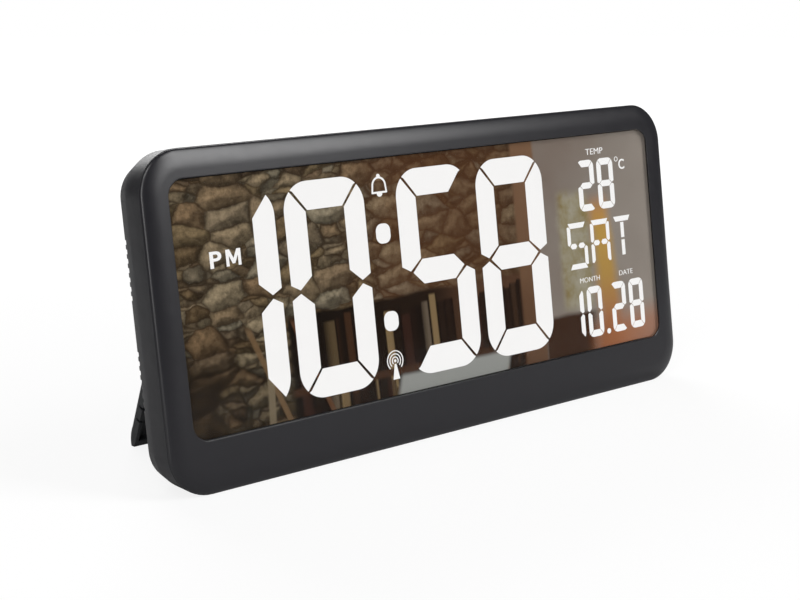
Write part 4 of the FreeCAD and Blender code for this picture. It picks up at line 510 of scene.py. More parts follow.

# Where the parts of the painted reflection lie, from where to where along u or v, or up to where
CORNER_END, CORNER_TOP = -147, -26
RECESS_SIDES, RECESS_TOP = (-108, 62), -8
SPINES_TOP, SPINE_WIDTH = -22, 6.5
LOW_SPINES_TOP, LOW_SPINE_WIDTH = -62, 8.0
DEEP_SIDES = (-97, -58)
BOARD_EDGES = (-53, -49)
PALE_SIDES, PALE_TOP = (-20, 62), -56
BARS_TOP = -14
POST_SIDES = (58, 78)
WALL_START = 77
COLUMN_SIDES, COLUMN_ENDS = (96, 121), (-34, 34)
STREAK_SIDES, STREAK_ENDS = (125, 141), (-58, 30)
FOOT_END, FOOT_TOP = 118, -38
GLOW_START, GLOW_TOP = 116, -50

# The leaning bars: where each starts and how wide it is, its slope and its colour
BARS = (
    (-140, 3.4, 0.42, shade(104, 82, 58)),
    (-121, 4.2, -0.06, shade(112, 100, 80)),
    (-112, 3.0, 0.42, shade(92, 62, 42)),
)


def stone_wall(finish, flat, u, v, colours):
    """Rough stones of two sizes in uneven courses, with dark joints and soft light from the upper left."""
    sway = finish.noise(flat, 0.045, 2.0, 0.5, 2.0) - 0.5
    rough = finish.noise(flat, 0.22, 4.0, 0.6, 9.0) - 0.5
    along = (u + sway * 18 + rough * 4) / STONE_WIDTH
    height = (v + sway * 9 - rough * 3) / STONE_HEIGHT

    def cells(feature, size=1.0, du=0.0, dv=0.0, output=0):
        place = finish.join((along + du) * size, (height + dv) * size, 0.0)
        return finish.cells(feature, place, randomness=0.95, output=output)

    large, tone, _ = finish.split(cells("F1", output="Color"))
    small, small_tone, _ = finish.split(cells("F1", SMALLER, output="Color"))
    broken = tone.above(0.58, 0.01)
    small_edge = cells("DISTANCE_TO_EDGE", SMALLER) * 0.6 + 1 - broken
    edge = cells("DISTANCE_TO_EDGE").maths("MINIMUM", small_edge)
    relief = cells("DISTANCE_TO_EDGE", 1.0, 0.05, -0.08) - cells("DISTANCE_TO_EDGE", 1.0, -0.05, 0.08)
    stone = finish.ramp(large * (1 - broken) + small * broken,
                        [(0.0, colours.stone_dark), *STONES, (1.0, colours.stone_light)])
    for value, levels in (
        (finish.noise(flat, 0.24, 6.0, 0.68, 4.0), STONE_GRAIN),
        (relief.lift(0.5, 2.6), STONE_LIGHT),
        (edge + small_tone * 0.1, STONE_RIM),
    ):
        stone = finish.times(stone, finish.ramp(value, levels))
    stone = finish.times(stone, STONE_TINT)
    filled = finish.noise(flat, 0.06, 2.0, 0.5, 21.0).above(0.5, 0.3).lift(0.12, 0.68)
    joint = finish.mix(filled, colours.joint, stone)
    width = finish.noise(flat, 0.09, 2.0, 0.5, 15.0) * 0.07
    return finish.mix((edge - width).above(0.0, 0.06), joint, stone)


def book_row(finish, u, v, top, pitch, seed):
    """A row of upright spines: its colour, and how much of it shows."""
    place = finish.join(u / pitch + seed, 0.0, 0.0)
    pick, rise, tone = finish.split(finish.cells("F1", place, output="Color"))
    gap = finish.cells("DISTANCE_TO_EDGE", place)
    spines = finish.mix(gap.above(0.09, 0.08), SPINE_GAP, finish.ramp(pick, SPINES, "CONSTANT"))
    return spines, (v - rise * 9).below(top, 1.0) * tone.above(0.12, 0.02)


def paint_mirror_reflection(name, colours):
    """The mirror film's painted reflection of a stone wall, a shelf and a plain wall: soft, under a thin gloss,
    and also given off as glow.
    """
    finish = Finish(name)
    u, _, up = finish.case_place()
    v = up - WINDOW_MIDDLE
    flat = finish.join(u, 0.0, v)
    soft = finish.noise(flat, 0.03, 2.0, 0.5, 6.0)
    blot = finish.noise(flat, 0.1, 3.0, 0.6, 12.0)

    # the reflected stones, with painted shade darker to the right and at the lower left, and warmer in the
    # middle
    reflection = finish.times(stone_wall(finish, flat, u, v, colours), finish.ramp(u / 340 + soft * 0.35, SHADOW))
    reflection = finish.mix((u / 60).between(-0.9, 1.05, 0.5) * 0.48, reflection, shade(88, 56, 34))
    low_left = (v + u * 0.1).above(-38, 26).lift(0.5, 1.0)
    reflection = finish.times(reflection, finish.join(low_left, low_left * 0.97, low_left * 0.94))
    corner = (u + soft * 8).below(CORNER_END, 4.0) * (v + soft * 10).below(CORNER_TOP, 7.0)

    # a dark recess with a shelf of spines, a board below it, a second row and a pale top in front
    recess = u.between(*RECESS_SIDES, 2.2) * (v + soft * 6).below(RECESS_TOP, 1.6)
    spines, seen = book_row(finish, u + v * 0.03, v, SPINES_TOP, SPINE_WIDTH, 3.0)
    deep = u.between(*DEEP_SIDES, 4.0)
    board = v.between(*BOARD_EDGES, 0.9)
    low_spines, low_seen = book_row(finish, u * 1.02, v, LOW_SPINES_TOP, LOW_SPINE_WIDTH, 11.0)
    pale = (u - v * 0.3).between(*PALE_SIDES, 2.0) * (v - soft * 5).below(PALE_TOP, 1.6)
    layers = [
        (corner * 0.7, shade(28, 21, 15)),
        (recess, finish.ramp(u / 120 + 0.6 + soft * 0.3, HOLLOW)),
        (seen * recess * (0.9 - deep * 0.55), spines),
        (board * recess, shade(58, 38, 26)),
        (low_seen * recess * 0.7, low_spines),
        (pale, shade(136, 137, 133)),
    ]
    for start, width, slope, tint in BARS:
        bar = (u + v * slope).between(start, start + width, 0.7) * v.below(BARS_TOP, 3)
        layers.append((bar * 0.85, tint))

    # a brown post, then the plain wall with a pale column, a warm streak, a dark foot and a glow
    side = (u + soft * 2).above(WALL_START, 1.5)
    wall = stops((0.0, 92, 74, 62), (0.25, 108, 95, 86)) + [(0.5, colours.wall)] + stops((0.75, 138, 130, 122))
    column = (u + blot * 7).between(*COLUMN_SIDES, 3.0) * (v + blot * 6).between(*COLUMN_ENDS, 4.0)
    streak = (u + v * 0.05 + soft * 8).between(*STREAK_SIDES, 5.5) * (v + soft * 10).between(*STREAK_ENDS, 8.0)
    foot = side * u.below(FOOT_END, 6.0) * (v + soft * 4).below(FOOT_TOP, 2.0)
    glow = side * u.above(GLOW_START, 9.0) * (v - u * 0.05 + soft * 8).below(GLOW_TOP, 9.0)
    layers += [
        (u.between(*POST_SIDES, 1.6), finish.ramp(soft * 0.5 + v / 280 + 0.3, POST)),
        (side, finish.ramp(soft * 0.3 + u / 330 - v / 700, wall)),
        (column * 0.8, finish.ramp(blot, COLUMN)),
        (streak * 0.8, finish.ramp(v / 100 + 0.5, STREAK)),
        (foot, shade(54, 35, 24)),
        (glow * 0.9, finish.ramp(u / 60 - 1.9, GLOW)),
    ]
    for share, paint in layers:
        reflection = finish.mix(share, reflection, paint)
    # the painted reflection is also given off as glow, though the film is no lamp
    return finish.skin(
        Base_Color=reflection,
        Roughness=soft.lift(0.14, 0.2),
        Specular_IOR_Level=0.03,
        Emission_Color=reflection,
        Emission_Strength=0.42,
    )


# ---- meshes ----
# Metres under which two points are one: of a mesh in general, and of a CAD node that gets soft edges
MERGE = 1e-7
CAD_MERGE = 2e-6

# Degrees over which an edge shows as sharp, over which it is bevelled, and under which two faces are one
SHARP_DEG = 32.0
BEVEL_DEG = 35.0
FLAT_DEG = 0.6


def linked(name, data):
    """An object with that data, in the scene."""
    thing = bpy.data.objects.new(name, data)
    bpy.context.scene.collection.objects.link(thing)
    return thing


def discard(thing):
    """Removes an object that only helped."""
    bpy.data.objects.remove(thing)


def give(node, material):
    """Puts a material on a CAD node."""
    for entry in frame["nodes"][node].material_slots:
        entry.link = "OBJECT"
        entry.material = material


def smooth(mesh, sharp_deg):
    """Shades a mesh smooth, but for its edges sharper than that."""
    mesh.polygons.foreach_set("use_smooth", [True] * len(mesh.polygons))
    mesh.set_sharp_from_angle(angle=math.radians(sharp_deg))


def new_piece(name, work, material, body, slot, *replaced, sharp_deg=SHARP_DEG):
    """Makes a mesh object from a bmesh built upright in the case's frame, and hangs it on its body's empty."""
    bmesh.ops.remove_doubles(work, verts=work.verts, dist=MERGE)
    bmesh.ops.recalc_face_normals(work, faces=work.faces)
    work.transform(CASE_TO_ROW)
    piece = as_object(name, work, sharp_deg)
    piece.data.materials.append(material)
    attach(piece, body)
    if replaced:
        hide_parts(*replaced)
    return piece


def as_object(name, work, sharp_deg=SHARP_DEG):
    """An object from a bmesh, not yet part of the clock."""
    mesh = bpy.data.meshes.new(name)
    work.to_mesh(mesh)
    work.free()
    smooth(mesh, sharp_deg)
    return linked(name, mesh)


def evaluated_mesh(thing):
    """The mesh that an object's modifiers give."""
    graph = bpy.context.evaluated_depsgraph_get()
    return bpy.data.meshes.new_from_object(thing.evaluated_get(graph), depsgraph=graph)


def modify(thing, kind, **settings):
    """Puts an object's mesh through one modifier."""
    modifier = thing.modifiers.new("shaping", kind)
    for key, value in settings.items():
        setattr(modifier, key, value)
    mesh = evaluated_mesh(thing)
    thing.modifiers.clear()
    thing.data = mesh


def corners(points, axes=3):
    """The low and the high corner of the box round some points."""
    return [Vector([pick(point[k] for point in points) for k in range(axes)]) for pick in (min, max)]


def quarter(steps):
    """The sines and cosines of a quarter turn in steps, both ends included."""
    angles = [math.pi / 2 * step / steps for step in range(steps + 1)]
    return [(math.sin(angle), math.cos(angle)) for angle in angles]


def rounded_loop(half_width, low, high, radius, depth, steps):
    """Points round a rectangle with round corners, all at one depth."""
    middles = (
        (half_width - radius, low + radius, -90), (half_width - radius, high - radius, 0),
        (radius - half_width, high - radius, 90), (radius - half_width, low + radius, 180),
    )
    points = []
    for x, z, start in middles:
        for step in range(steps + 1):
            angle = math.radians(start + 90 * step / steps)
            points.append(Vector((x + radius * math.cos(angle), depth, z + radius * math.sin(angle))))
    return points


def skin_loops(work, loops, closed=True):
    """Faces between successive loops of points. A loop of one point is a pole."""
    rings = [[work.verts.new(point) for point in loop] for loop in loops]
    pairs = list(zip(rings, rings[1:]))
    if closed:
        pairs.append((rings[-1], rings[0]))
    for first, second in pairs:
        count = max(len(first), len(second))
        for i in range(count):
            k = (i + 1) % count
            face = (first[i % len(first)], first[k % len(first)],
                    second[k % len(second)], second[i % len(second)])
            work.faces.new(list(dict.fromkeys(face)))


def turned(rings, steps):
    """A bmesh turned about Y, from rings of a radius and a depth. Radius None is a pole at an end.

    A radius may be a function of the angle. Without poles the last ring joins the first.
    """
    def ring(radius, depth):
        if radius is None:
            return [(0.0, depth, 0.0)]
        points = []
        for step in range(steps):
            angle = 2 * math.pi * step / steps
            reach = radius(angle) if callable(radius) else radius
            points.append((reach * math.cos(angle), depth, reach * math.sin(angle)))
        return points

    work = bmesh.new()
    skin_loops(work, [ring(*entry) for entry in rings], closed=rings[0][0] is not None)
    bmesh.ops.recalc_face_normals(work, faces=work.faces)
    return work


def upright_copy(node, merge):
    """A bmesh of a CAD node, upright in the case's frame, with points nearer than merge made one."""
    holder = frame["nodes"][node]
    work = bmesh.new()
    work.from_mesh(holder.data)
    work.transform(CASE_TO_ROW.inverted() @ holder.matrix_world)
    bmesh.ops.remove_doubles(work, verts=work.verts, dist=merge)
    return work


def solids_of(node):
    """The boxes of a CAD node's separate solids, upright in the case's frame, and which end is wider."""
    work = upright_copy(node, MERGE)
    boxes = []
    left = set(work.verts)
    while left:
        island, edge = [], [left.pop()]
        while edge:
            vertex = edge.pop()
            island.append(vertex.co.copy())
            near = {link.other_vert(vertex) for link in vertex.link_edges} & left
            left -= near
            edge.extend(near)
        low, high = corners(island)
        middle = (low + high) / 2
        reach = {side: max(abs(place.x - middle.x) for place in island if (place.y - middle.y) * side > 0)
                 for side in (-1, 1)}
        boxes.append((low, high, 1 if reach[1] >= reach[-1] else -1))
    work.free()
    return sorted(boxes, key=lambda entry: tuple(entry[0]))


def soft_edged(name, node, width, material, body, slot):
    """Replaces a CAD node by a copy whose sharp edges are slightly rounded."""
    work = upright_copy(node, CAD_MERGE)
    bmesh.ops.dissolve_limit(work, angle_limit=math.radians(FLAT_DEG), verts=work.verts, edges=work.edges)
    source = as_object(name + "_source", work)
    modify(source, "BEVEL", width=width, segments=2, limit_method="ANGLE",
           angle_limit=math.radians(BEVEL_DEG), use_clamp_overlap=False)
    rounded = bmesh.new()
    rounded.from_mesh(source.data)
    discard(source)
    piece = new_piece(name, rounded, material, body, slot, node, sharp_deg=50.0)
    modify(piece, "WEIGHTED_NORMAL", keep_sharp=True)


# ---- screws, bosses and the coil ----
# The groups of screws, with the height of their heads in mm
SCREW_HEADS = (("case_screws", 2.0), ("carrier_screws", 1.3), ("board_screws", 1.3))
FIRST_SEED = 3
MOST_TURN = 0.8  # radians by which a screw is turned at random, either way

# The bezel's bosses: the screws they hold, outer and bore radius in metres, and from where to where in mm
BOSSES = (
    ("case_screws", 3.55 * MM, 1.5 * MM, -1.7, 5.0),
    ("carrier_screws", 2.35 * MM, 1.0 * MM, -1.7, 1.2),
)
BOSS_CHAMFER = 0.3 * MM
BOSS_FLOOR = 0.8  # mm from a boss's foot to its bore's end
BOSS_TIP = 0.3  # the bore's share that is left at the foot
BOSS_SIDES = 24
SCREW_SIDES = 28

# Of a screw, in shares of its head's radius: the shank and the cross
SHANK_SHARE = 0.5
CROSS_WIDTH = 0.16
CROSS_REACH = 0.6
CROSS_TAPER = 0.6  # of that size is left at the bottom

# In shares of its head's height: the round rim, the cross's depth, and how far its cutter stands out
RIM_SHARE = 0.45
CROSS_DEPTH = 0.65
CROSS_RISE = 0.3

# In shares of its shank's radius: the neck, and the thread's pitch, depth and size at the tip
NECK_SHARE = 1.05
THREAD_PITCH = 0.62
THREAD_DEPTH = 0.2
THREAD_END = 0.35
THREAD_ROWS = 5  # in a turn
THREAD_RUNOUT = 8  # rows over which it fades in from the tip

# The aerial coil's wire, and, in its radii, from turn to turn, and how much shorter the outer layer is
WIRE_RADIUS = 0.22 * MM
WIRE_PITCH = 2.04
LAYER_SHORTER = 6


def cross_blades(head_radius, head_height):
    """Two crossed blades, tapered downwards, that cut a screw's recess."""
    work = bmesh.new()
    for across, along in ((CROSS_WIDTH, CROSS_REACH), (CROSS_REACH, CROSS_WIDTH)):
        blade = bmesh.ops.create_cube(work, size=2.0)
        for vertex in blade["verts"]:
            deep = vertex.co.y < 0
            taper = CROSS_TAPER if deep else 1.0
            vertex.co = Vector((
                vertex.co.x * across * head_radius * (taper if across > along else 1.0),
                head_height * (-CROSS_DEPTH if deep else CROSS_RISE),
                vertex.co.z * along * head_radius * (taper if along > across else 1.0),
            ))
    return as_object("screw_blades", work)


def screw_template(head_radius, head_height, length):
    """A pan-head screw with a cross recess and a cut thread, its head towards +Y and its top at y = 0."""
    shank = head_radius * SHANK_SHARE
    rim = head_height * RIM_SHARE
    rings = [(None, 0.0), (shank, 0.0)]
    rings += [(head_radius - rim + rim * sine, rim * (cosine - 1)) for sine, cosine in quarter(5)]
    rings += [(head_radius, -head_height), (shank * NECK_SHARE, -head_height)]
    rows = round((length - head_height) / (shank * THREAD_PITCH) * THREAD_ROWS)

    def thread(row, fade):
        return lambda angle: fade * shank * (
            1 - THREAD_DEPTH * abs(2 * ((row / THREAD_ROWS + angle / (2 * math.pi)) % 1) - 1))

    for row in range(1, rows):
        fade = min(1.0, THREAD_END + (1 - THREAD_END) * (rows - row) / THREAD_RUNOUT)
        rings.append((thread(row, fade), -head_height - row * (length - head_height) / rows))
    rings.append((None, -length))
    screw = as_object("screw_template", turned(rings, SCREW_SIDES))
    blades = cross_blades(head_radius, head_height)
    modify(screw, "BOOLEAN", operation="DIFFERENCE", object=blades, solver="EXACT", use_self=True)
    smooth(screw.data, SHARP_DEG)
    discard(blades)
    return screw


def boss_template(outer, bore, low, high):
    """A boss with a blind bore, both its rims chamfered, from low to high in mm."""
    bottom, top, edge = low * MM, high * MM, BOSS_CHAMFER
    return as_object("boss", turned([
        (outer, bottom), (outer, top - edge), (outer - edge, top), (bore + edge, top), (bore, top - edge),
        (bore, (low + BOSS_FLOOR) * MM), (bore * BOSS_TIP, bottom + edge), (bore * BOSS_TIP, bottom),
    ], BOSS_SIDES))


def scatter_tree():
    """Sets a template on each point, turned at random about the case's Y axis between two limits."""
    tree = Tree("set_on_points", (
        ("Points", "Geometry"), ("Template", "Object"), ("Least turn", "Vector"), ("Most turn", "Vector"),
        ("Seed", "Int"), ("Material", "Material"),
    ))
    turn = tree.add("FunctionNodeRandomValue", {"data_type": "FLOAT_VECTOR"},
                    {0: "Least turn", 1: "Most turn", 8: "Seed"})
    shape = tree.add("GeometryNodeObjectInfo", inputs={"Object": "Template"}, output="Geometry")
    return tree.finish(tree.add("GeometryNodeInstanceOnPoints",
                                inputs={"Points": "Points", "Instance": shape, "Rotation": turn}))


def winding_tree():
    """A close winding of round wire about X."""
    tree = Tree("wound_wire", (
        ("Points", "Geometry"), ("Turns", "Float"), ("Radius", "Float"), ("Length", "Float"), ("Wire", "Float"),
        ("Place", "Vector"), ("Material", "Material"),
    ))
    path = tree.add("GeometryNodeCurveSpiral", inputs={
        "Resolution": 28, "Rotations": "Turns", "Start Radius": "Radius", "End Radius": "Radius",
        "Height": "Length",
    })
    section = tree.add("GeometryNodeCurvePrimitiveCircle", inputs={"Resolution": 8, "Radius": "Wire"})
    wire = tree.add("GeometryNodeCurveToMesh",
                    inputs={"Curve": path, "Profile Curve": section, "Fill Caps": True})
    laid = tree.add("GeometryNodeTransform", inputs={
        "Geometry": wire, "Rotation": (0.0, math.pi / 2, 0.0), "Translation": "Place",
    })
    return tree.finish(tree.add("GeometryNodeSetShadeSmooth", inputs={"Geometry": laid}))


# ---- the display's words ----
# Each word: middle x and z, width and height in mm in the case's frame, and how bold
WORDS = (
    ("P", -146.9, 113.9, 6.9, 8.3, 0.02),
    ("TEMP", 127.5, 144.85, 14.8, 3.5, -0.008),
    ("\u00b0", 146.1, 138.6, 3.0, 3.0, -0.012),
    ("C", 150.6, 135.25, 5.0, 6.1, 0.012),
    ("MONTH", 115.4, 69.45, 16.9, 2.9, -0.012),
    ("DATE", 147.3, 69.8, 12.1, 2.9, -0.012),
)

# The bold M beside the P: its outline over a unit square, and its middle, width and height in mm
BOLD_M = ((0, 0), (0, 1), (0.25, 1), (0.5, 0.45), (0.75, 1), (1, 1), (1, 0), (0.81, 0), (0.81, 0.66),
          (0.585, 0.14), (0.415, 0.14), (0.19, 0.66), (0.19, 0))
BOLD_M_PLACE = (-136.4, 113.9, 8.8, 8.3)


def set_words(work, front, back):
    """Adds the display's words to a bmesh, between two depths."""
    x, z, width, height = BOLD_M_PLACE
    rims = [[work.verts.new(((x + (a - 0.5) * width) * MM, depth, (z + (b - 0.5) * height) * MM))
             for a, b in BOLD_M] for depth in (front, back)]
    for rim in rims:
        work.faces.new(rim)
    for i, corner in enumerate(rims[0]):
        work.faces.new((rims[0][i - 1], corner, rims[1][i], rims[1][i - 1]))
    for text, x, z, width, height, bold in WORDS:
        curve = bpy.data.curves.new("word", "FONT")
        curve.body = text
        curve.offset = bold
        curve.extrude = 0.5
        curve.resolution_u = 5
        word = linked("word", curve)
        mesh = evaluated_mesh(word)
        low, high = corners([vertex.co for vertex in mesh.vertices], 2)
        for vertex in mesh.vertices:
            place = vertex.co
            vertex.co = Vector((
                (x + ((place.x - low.x) / (high.x - low.x) - 0.5) * width) * MM,
                back + (front - back) * (place.z + 0.5),
                (z + ((place.y - low.y) / (high.y - low.y) - 0.5) * height) * MM,
            ))
        work.from_mesh(mesh)
        discard(word)


# ---- the studio ----
CAMERA_PLACE = Vector((-0.57779, -0.67333, 0.26247))
CAMERA_RIGHT = Vector((0.76024, -0.64964, 0.0))
CAMERA_UP = Vector((0.14013, 0.16398, 0.97646))
LENS_MM = 72.0
SENSOR_MM = 36.0
WHITE = (1.0, 1.0, 1.0)
WORLD_LIGHT = 0.13
FLOOR_RADIUS = 4.0
FLOOR_GLOW = 1.13
FLOOR_NEAR = 0.75  # the glow's share near the clock
FLOOR_FADE = (0.75, 0.35)  # metres from the clock where the glow rises, and half the width of the rise

# Each lamp: its place in metres, its width and height, and its power in watts
LAMP_TARGET = Vector((0.0, -0.03, 0.08))
LAMPS = {
    "lamp_high_left": ((-1.0, -0.6, 1.4), 0.7, 0.7, 7.0),
    "lamp_low_left": ((-1.25, -0.88, 0.5), 0.5, 0.8, 6.0),
    "lamp_front_right": ((0.625, -1.07, 0.962), 0.62, 1.3, 18.0),
    "lamp_behind": ((0.5, 1.6, 1.1), 1.5, 1.0, 30.0),
}


def make_camera():
    """The camera, level from side to side."""
    data = bpy.data.cameras.new("studio_camera")
    data.lens = LENS_MM
    data.sensor_width = SENSOR_MM
    data.clip_start = 0.05
    data.clip_end = 20.0
    camera = linked("studio_camera", data)
    turn = Matrix((CAMERA_RIGHT, CAMERA_UP, CAMERA_RIGHT.cross(CAMERA_UP))).transposed()
    camera.matrix_world = Matrix.Translation(CAMERA_PLACE) @ turn.to_4x4()
    bpy.context.scene.camera = camera


def make_world():
    """White to the camera and through clear sheets, and a plain soft light elsewhere."""
    world = bpy.data.worlds.new("studio_world")
    world.use_nodes = True
    world.node_tree.nodes.clear()
    sky = Nodes(world.node_tree)
    through = sky.add("ShaderNodeLightPath", output="Is Transmission Ray")
    seen = sky.add("ShaderNodeLightPath", output="Is Camera Ray").maths("MAXIMUM", through)
    light = sky.add("ShaderNodeBackground", inputs={"Color": WHITE, "Strength": WORLD_LIGHT})
    backdrop = sky.add("ShaderNodeBackground", inputs={"Color": WHITE})
    mixed = sky.add("ShaderNodeMixShader", inputs={0: seen, 1: light, 2: backdrop})
    sky.add("ShaderNodeOutputWorld", inputs={"Surface": mixed})
    bpy.context.scene.world = world


def make_floor(rgb):
    """A pale floor that keeps a soft shadow and meets the white backdrop."""
    work = bmesh.new()
    bmesh.ops.create_circle(work, cap_ends=True, segments=96, radius=FLOOR_RADIUS)
    floor = as_object("studio_floor", work)
    finish = Finish("studio_floor")
    away = finish.add("ShaderNodeVectorMath", {"operation": "LENGTH"}, {0: finish.place()}, output=1)
    camera_ray = finish.add("ShaderNodeLightPath", output="Is Camera Ray")
    matt = finish.add("ShaderNodeBsdfDiffuse", inputs={"Color": rgb})
    white = finish.add("ShaderNodeEmission", inputs={"Color": WHITE, "Strength": FLOOR_GLOW})
    share = camera_ray * away.above(*FLOOR_FADE).lift(FLOOR_NEAR, 1.0)
    mixed = finish.add("ShaderNodeMixShader", inputs={0: share, 1: matt, 2: white})
    floor.data.materials.append(finish.done(mixed))


def make_lamps():
    """Two soft lamps on the left, one in front whose sheen lies on the bezel's top, and one behind."""
    for name, (place, width, height, power) in LAMPS.items():
        data = bpy.data.lights.new(name, "AREA")
        data.shape = "RECTANGLE"
        data.size = width
        data.size_y = height
        data.energy = power
        lamp = linked(name, data)
        lamp.location = place
        lamp.rotation_euler = (LAMP_TARGET - Vector(place)).to_track_quat("-Z", "Y").to_euler()


# ---- operators ----
# The bezel's inner side, in metres: the tongue that enters the rear cover, measured in from the case's
# edge, the skin behind its face, and how far it covers the window sheet
TONGUE_OUTER = 3.0 * MM
TONGUE_INNER = 4.13 * MM
TONGUE_ROOT = 3.6 * MM
TONGUE_DEPTH = 3.0 * MM
BEZEL_SKIN = 1.4 * MM
LIP_COVER = 2.0 * MM
CROWN_END = 0.4 * MM  # from the crown to the first flat loop
LIP_START = 0.3 * MM  # from the last flat loop to the lip's edge


class DAYCLOCK_OT_bezel(bpy.types.Operator):
    """Build the bezel as one smooth frame round the window, with its screw bosses"""
    bl_idname = "dayclock.bezel"
    bl_label = "Bezel"

    def execute(self, context):
        sizes, colours = settings()
        half_width = sizes.case_width / 2
        front = -sizes.crown_height

        def case_loop(inset, depth):
            return rounded_loop(half_width - inset, inset, sizes.case_height - inset,
                                sizes.corner_radius - inset, depth, sizes.corner_steps)

        def window_loop(grow, depth):
            return rounded_loop(half_width - sizes.side_band + grow, sizes.bottom_band - grow,
                                sizes.case_height - sizes.top_band + grow,
                                sizes.window_radius + grow * 0.5, depth, sizes.corner_steps)

        floor = front + BEZEL_SKIN
        sheet = front + sizes.lip_thickness
        reach = sizes.crown_reach - sizes.parting_step
        edge = sizes.lip_edge
        work = bmesh.new()
        skin_loops(work, [
            case_loop(TONGUE_OUTER, TONGUE_DEPTH), case_loop(TONGUE_OUTER, 0.0),
            *(case_loop(sizes.parting_step + reach * (1 - cosine), front * sine)
              for sine, cosine in quarter(sizes.crown_steps)),
            case_loop(sizes.crown_reach + CROWN_END, front), window_loop(edge + LIP_START, front),
            *(window_loop(edge * (1 - sine), front + edge * (1 - cosine)) for sine, cosine in quarter(3)),
            window_loop(0.0, sheet), window_loop(LIP_COVER, sheet), window_loop(LIP_COVER, floor),
            case_loop(TONGUE_ROOT, floor), case_loop(TONGUE_INNER, TONGUE_DEPTH),
        ])
        tree = scatter_tree()
        for node, outer, bore, bottom, top in BOSSES:
            boss = boss_template(outer, bore, bottom, top)
            points = [((low.x + high.x) / 2, 0.0, (low.z + high.z) / 2) for low, high, _ in solids_of(node)]
            work.from_mesh(tree.grow("bosses", points, {"Template": boss}))
            discard(boss)
        material = moulded_plastic("case_plastic_front", colours.case, rough=0.30, grain=0.05)
        new_piece("bezel_frame", work, material, "clock_case", "case_front", "front_bezel")
        return {"FINISHED"}


class DAYCLOCK_OT_screws(bpy.types.Operator):
    """Build the screws with their cross recesses and threads"""
    bl_idname = "dayclock.screws"
    bl_label = "Screws"

    def execute(self, context):
        material = satin_metal("screw_steel", shade(196, 198, 204), 0.28)
        tree = scatter_tree()
        for seed, (node, head_height) in enumerate(SCREW_HEADS, FIRST_SEED):
            kinds = {}
            for low, high, side in solids_of(node):
                kind = (side, round(high.y - low.y, 6), round((high.x - low.x) / 2, 6))
                kinds.setdefault(kind, []).append((low, high))
            work = bmesh.new()
            for (side, length, head_radius), places in sorted(kinds.items()):
                template = screw_template(head_radius, head_height * MM, length)
                points = [((low.x + high.x) / 2, high.y if side > 0 else low.y, (low.z + high.z) / 2)
                          for low, high in places]
                flip = 0.0 if side > 0 else math.pi
                work.from_mesh(tree.grow("screws", points, {
                    "Template": template, "Least turn": (flip, -MOST_TURN, 0.0),
                    "Most turn": (flip, MOST_TURN, 0.0), "Seed": seed, "Material": material,
                }))
                discard(template)
            new_piece(node.replace("screws", "screw_set"), work, material, "clock_case", "screw_steel", node)
        return {"FINISHED"}


class DAYCLOCK_OT_winding(bpy.types.Operator):
    """Wind the aerial coil in wire, in two layers"""
    bl_idname = "dayclock.winding"
    bl_label = "Aerial coil"

    def execute(self, context):
        (low, high, _), = solids_of("antenna_coil")
        wire = WIRE_RADIUS
        material = enamelled_wire("copper_wire", shade(208, 130, 78))
        tree = winding_tree()
        work = bmesh.new()
        for layer in (0, 1):
            span = high.x - low.x - (2 + LAYER_SHORTER * layer) * wire
            work.from_mesh(tree.grow("winding", [], {
                "Turns": span / (WIRE_PITCH * wire), "Radius": (high.z - low.z) / 2 - wire * (3 - 2 * layer),
                "Length": span, "Wire": wire, "Material": material,
                "Place": ((low.x + high.x - span) / 2, (low.y + high.y) / 2, (low.z + high.z) / 2),
            }))
        new_piece("wound_coil", work, material, "clock_case", "copper_wire", "antenna_coil", sharp_deg=80.0)
        return {"FINISHED"}


class DAYCLOCK_OT_rear_cover(bpy.types.Operator):
    """Give the rear cover and the battery door their moulded finish"""
    bl_idname = "dayclock.rear_cover"
    bl_label = "Rear cover"

    def execute(self, context):
        _, colours = settings()
        material = moulded_plastic("case_plastic_back", colours.case, rough=0.52, grain=0.16)
        soft_edged("rear_shell", "rear_cover", 0.28 * MM, material, "clock_case", "case_back")
        soft_edged("battery_lid", "battery_door", 0.2 * MM, material, "battery_door_body", "case_back")
        return {"FINISHED"}


class DAYCLOCK_OT_window(bpy.types.Operator):
    """Finish the window sheet with its painted lip shade, its tape, and the mirror film with its painted
    reflection
    """
    bl_idname = "dayclock.window"
    bl_label = "Window and mirror film"

    def execute(self, context):
        sizes, colours = settings()
        rim = [size / MM for size in (
            sizes.case_width / 2 - sizes.side_band,
            (sizes.case_height - sizes.top_band - sizes.bottom_band) / 2,
            sizes.window_radius,
        )]
        # the window sheet gets a dark line of painted shade along the bezel's lip
        give("front_window", clear_sheet("window_acrylic", grey(14), 0.1, rim))
        give("window_tape", painted_sheet("black_tape", grey(18)))
        # the mirror film gets a painted reflection of a room, also given off as glow
        give("mirror_film", paint_mirror_reflection("mirror_finish", colours))
        return {"FINISHED"}


class DAYCLOCK_OT_display(bpy.types.Operator):
    """Light the figures, words and symbols"""
    bl_idname = "dayclock.display"
    bl_label = "Lit display"

    def execute(self, context):
        _, colours = settings()
        material = lit_part("lit_white", colours.lit)
        for node in ("time_digits", "time_colon", "temperature_digits", "weekday_letters", "date_digits",
                     "alarm_icon", "signal_icon"):
            give(node, material)
        low, high, _ = solids_of("display_labels")[0]
        work = bmesh.new()
        set_words(work, low.y, high.y)
        new_piece("display_words", work, material, "clock_case", "lit_white", "display_labels")
        return {"FINISHED"}


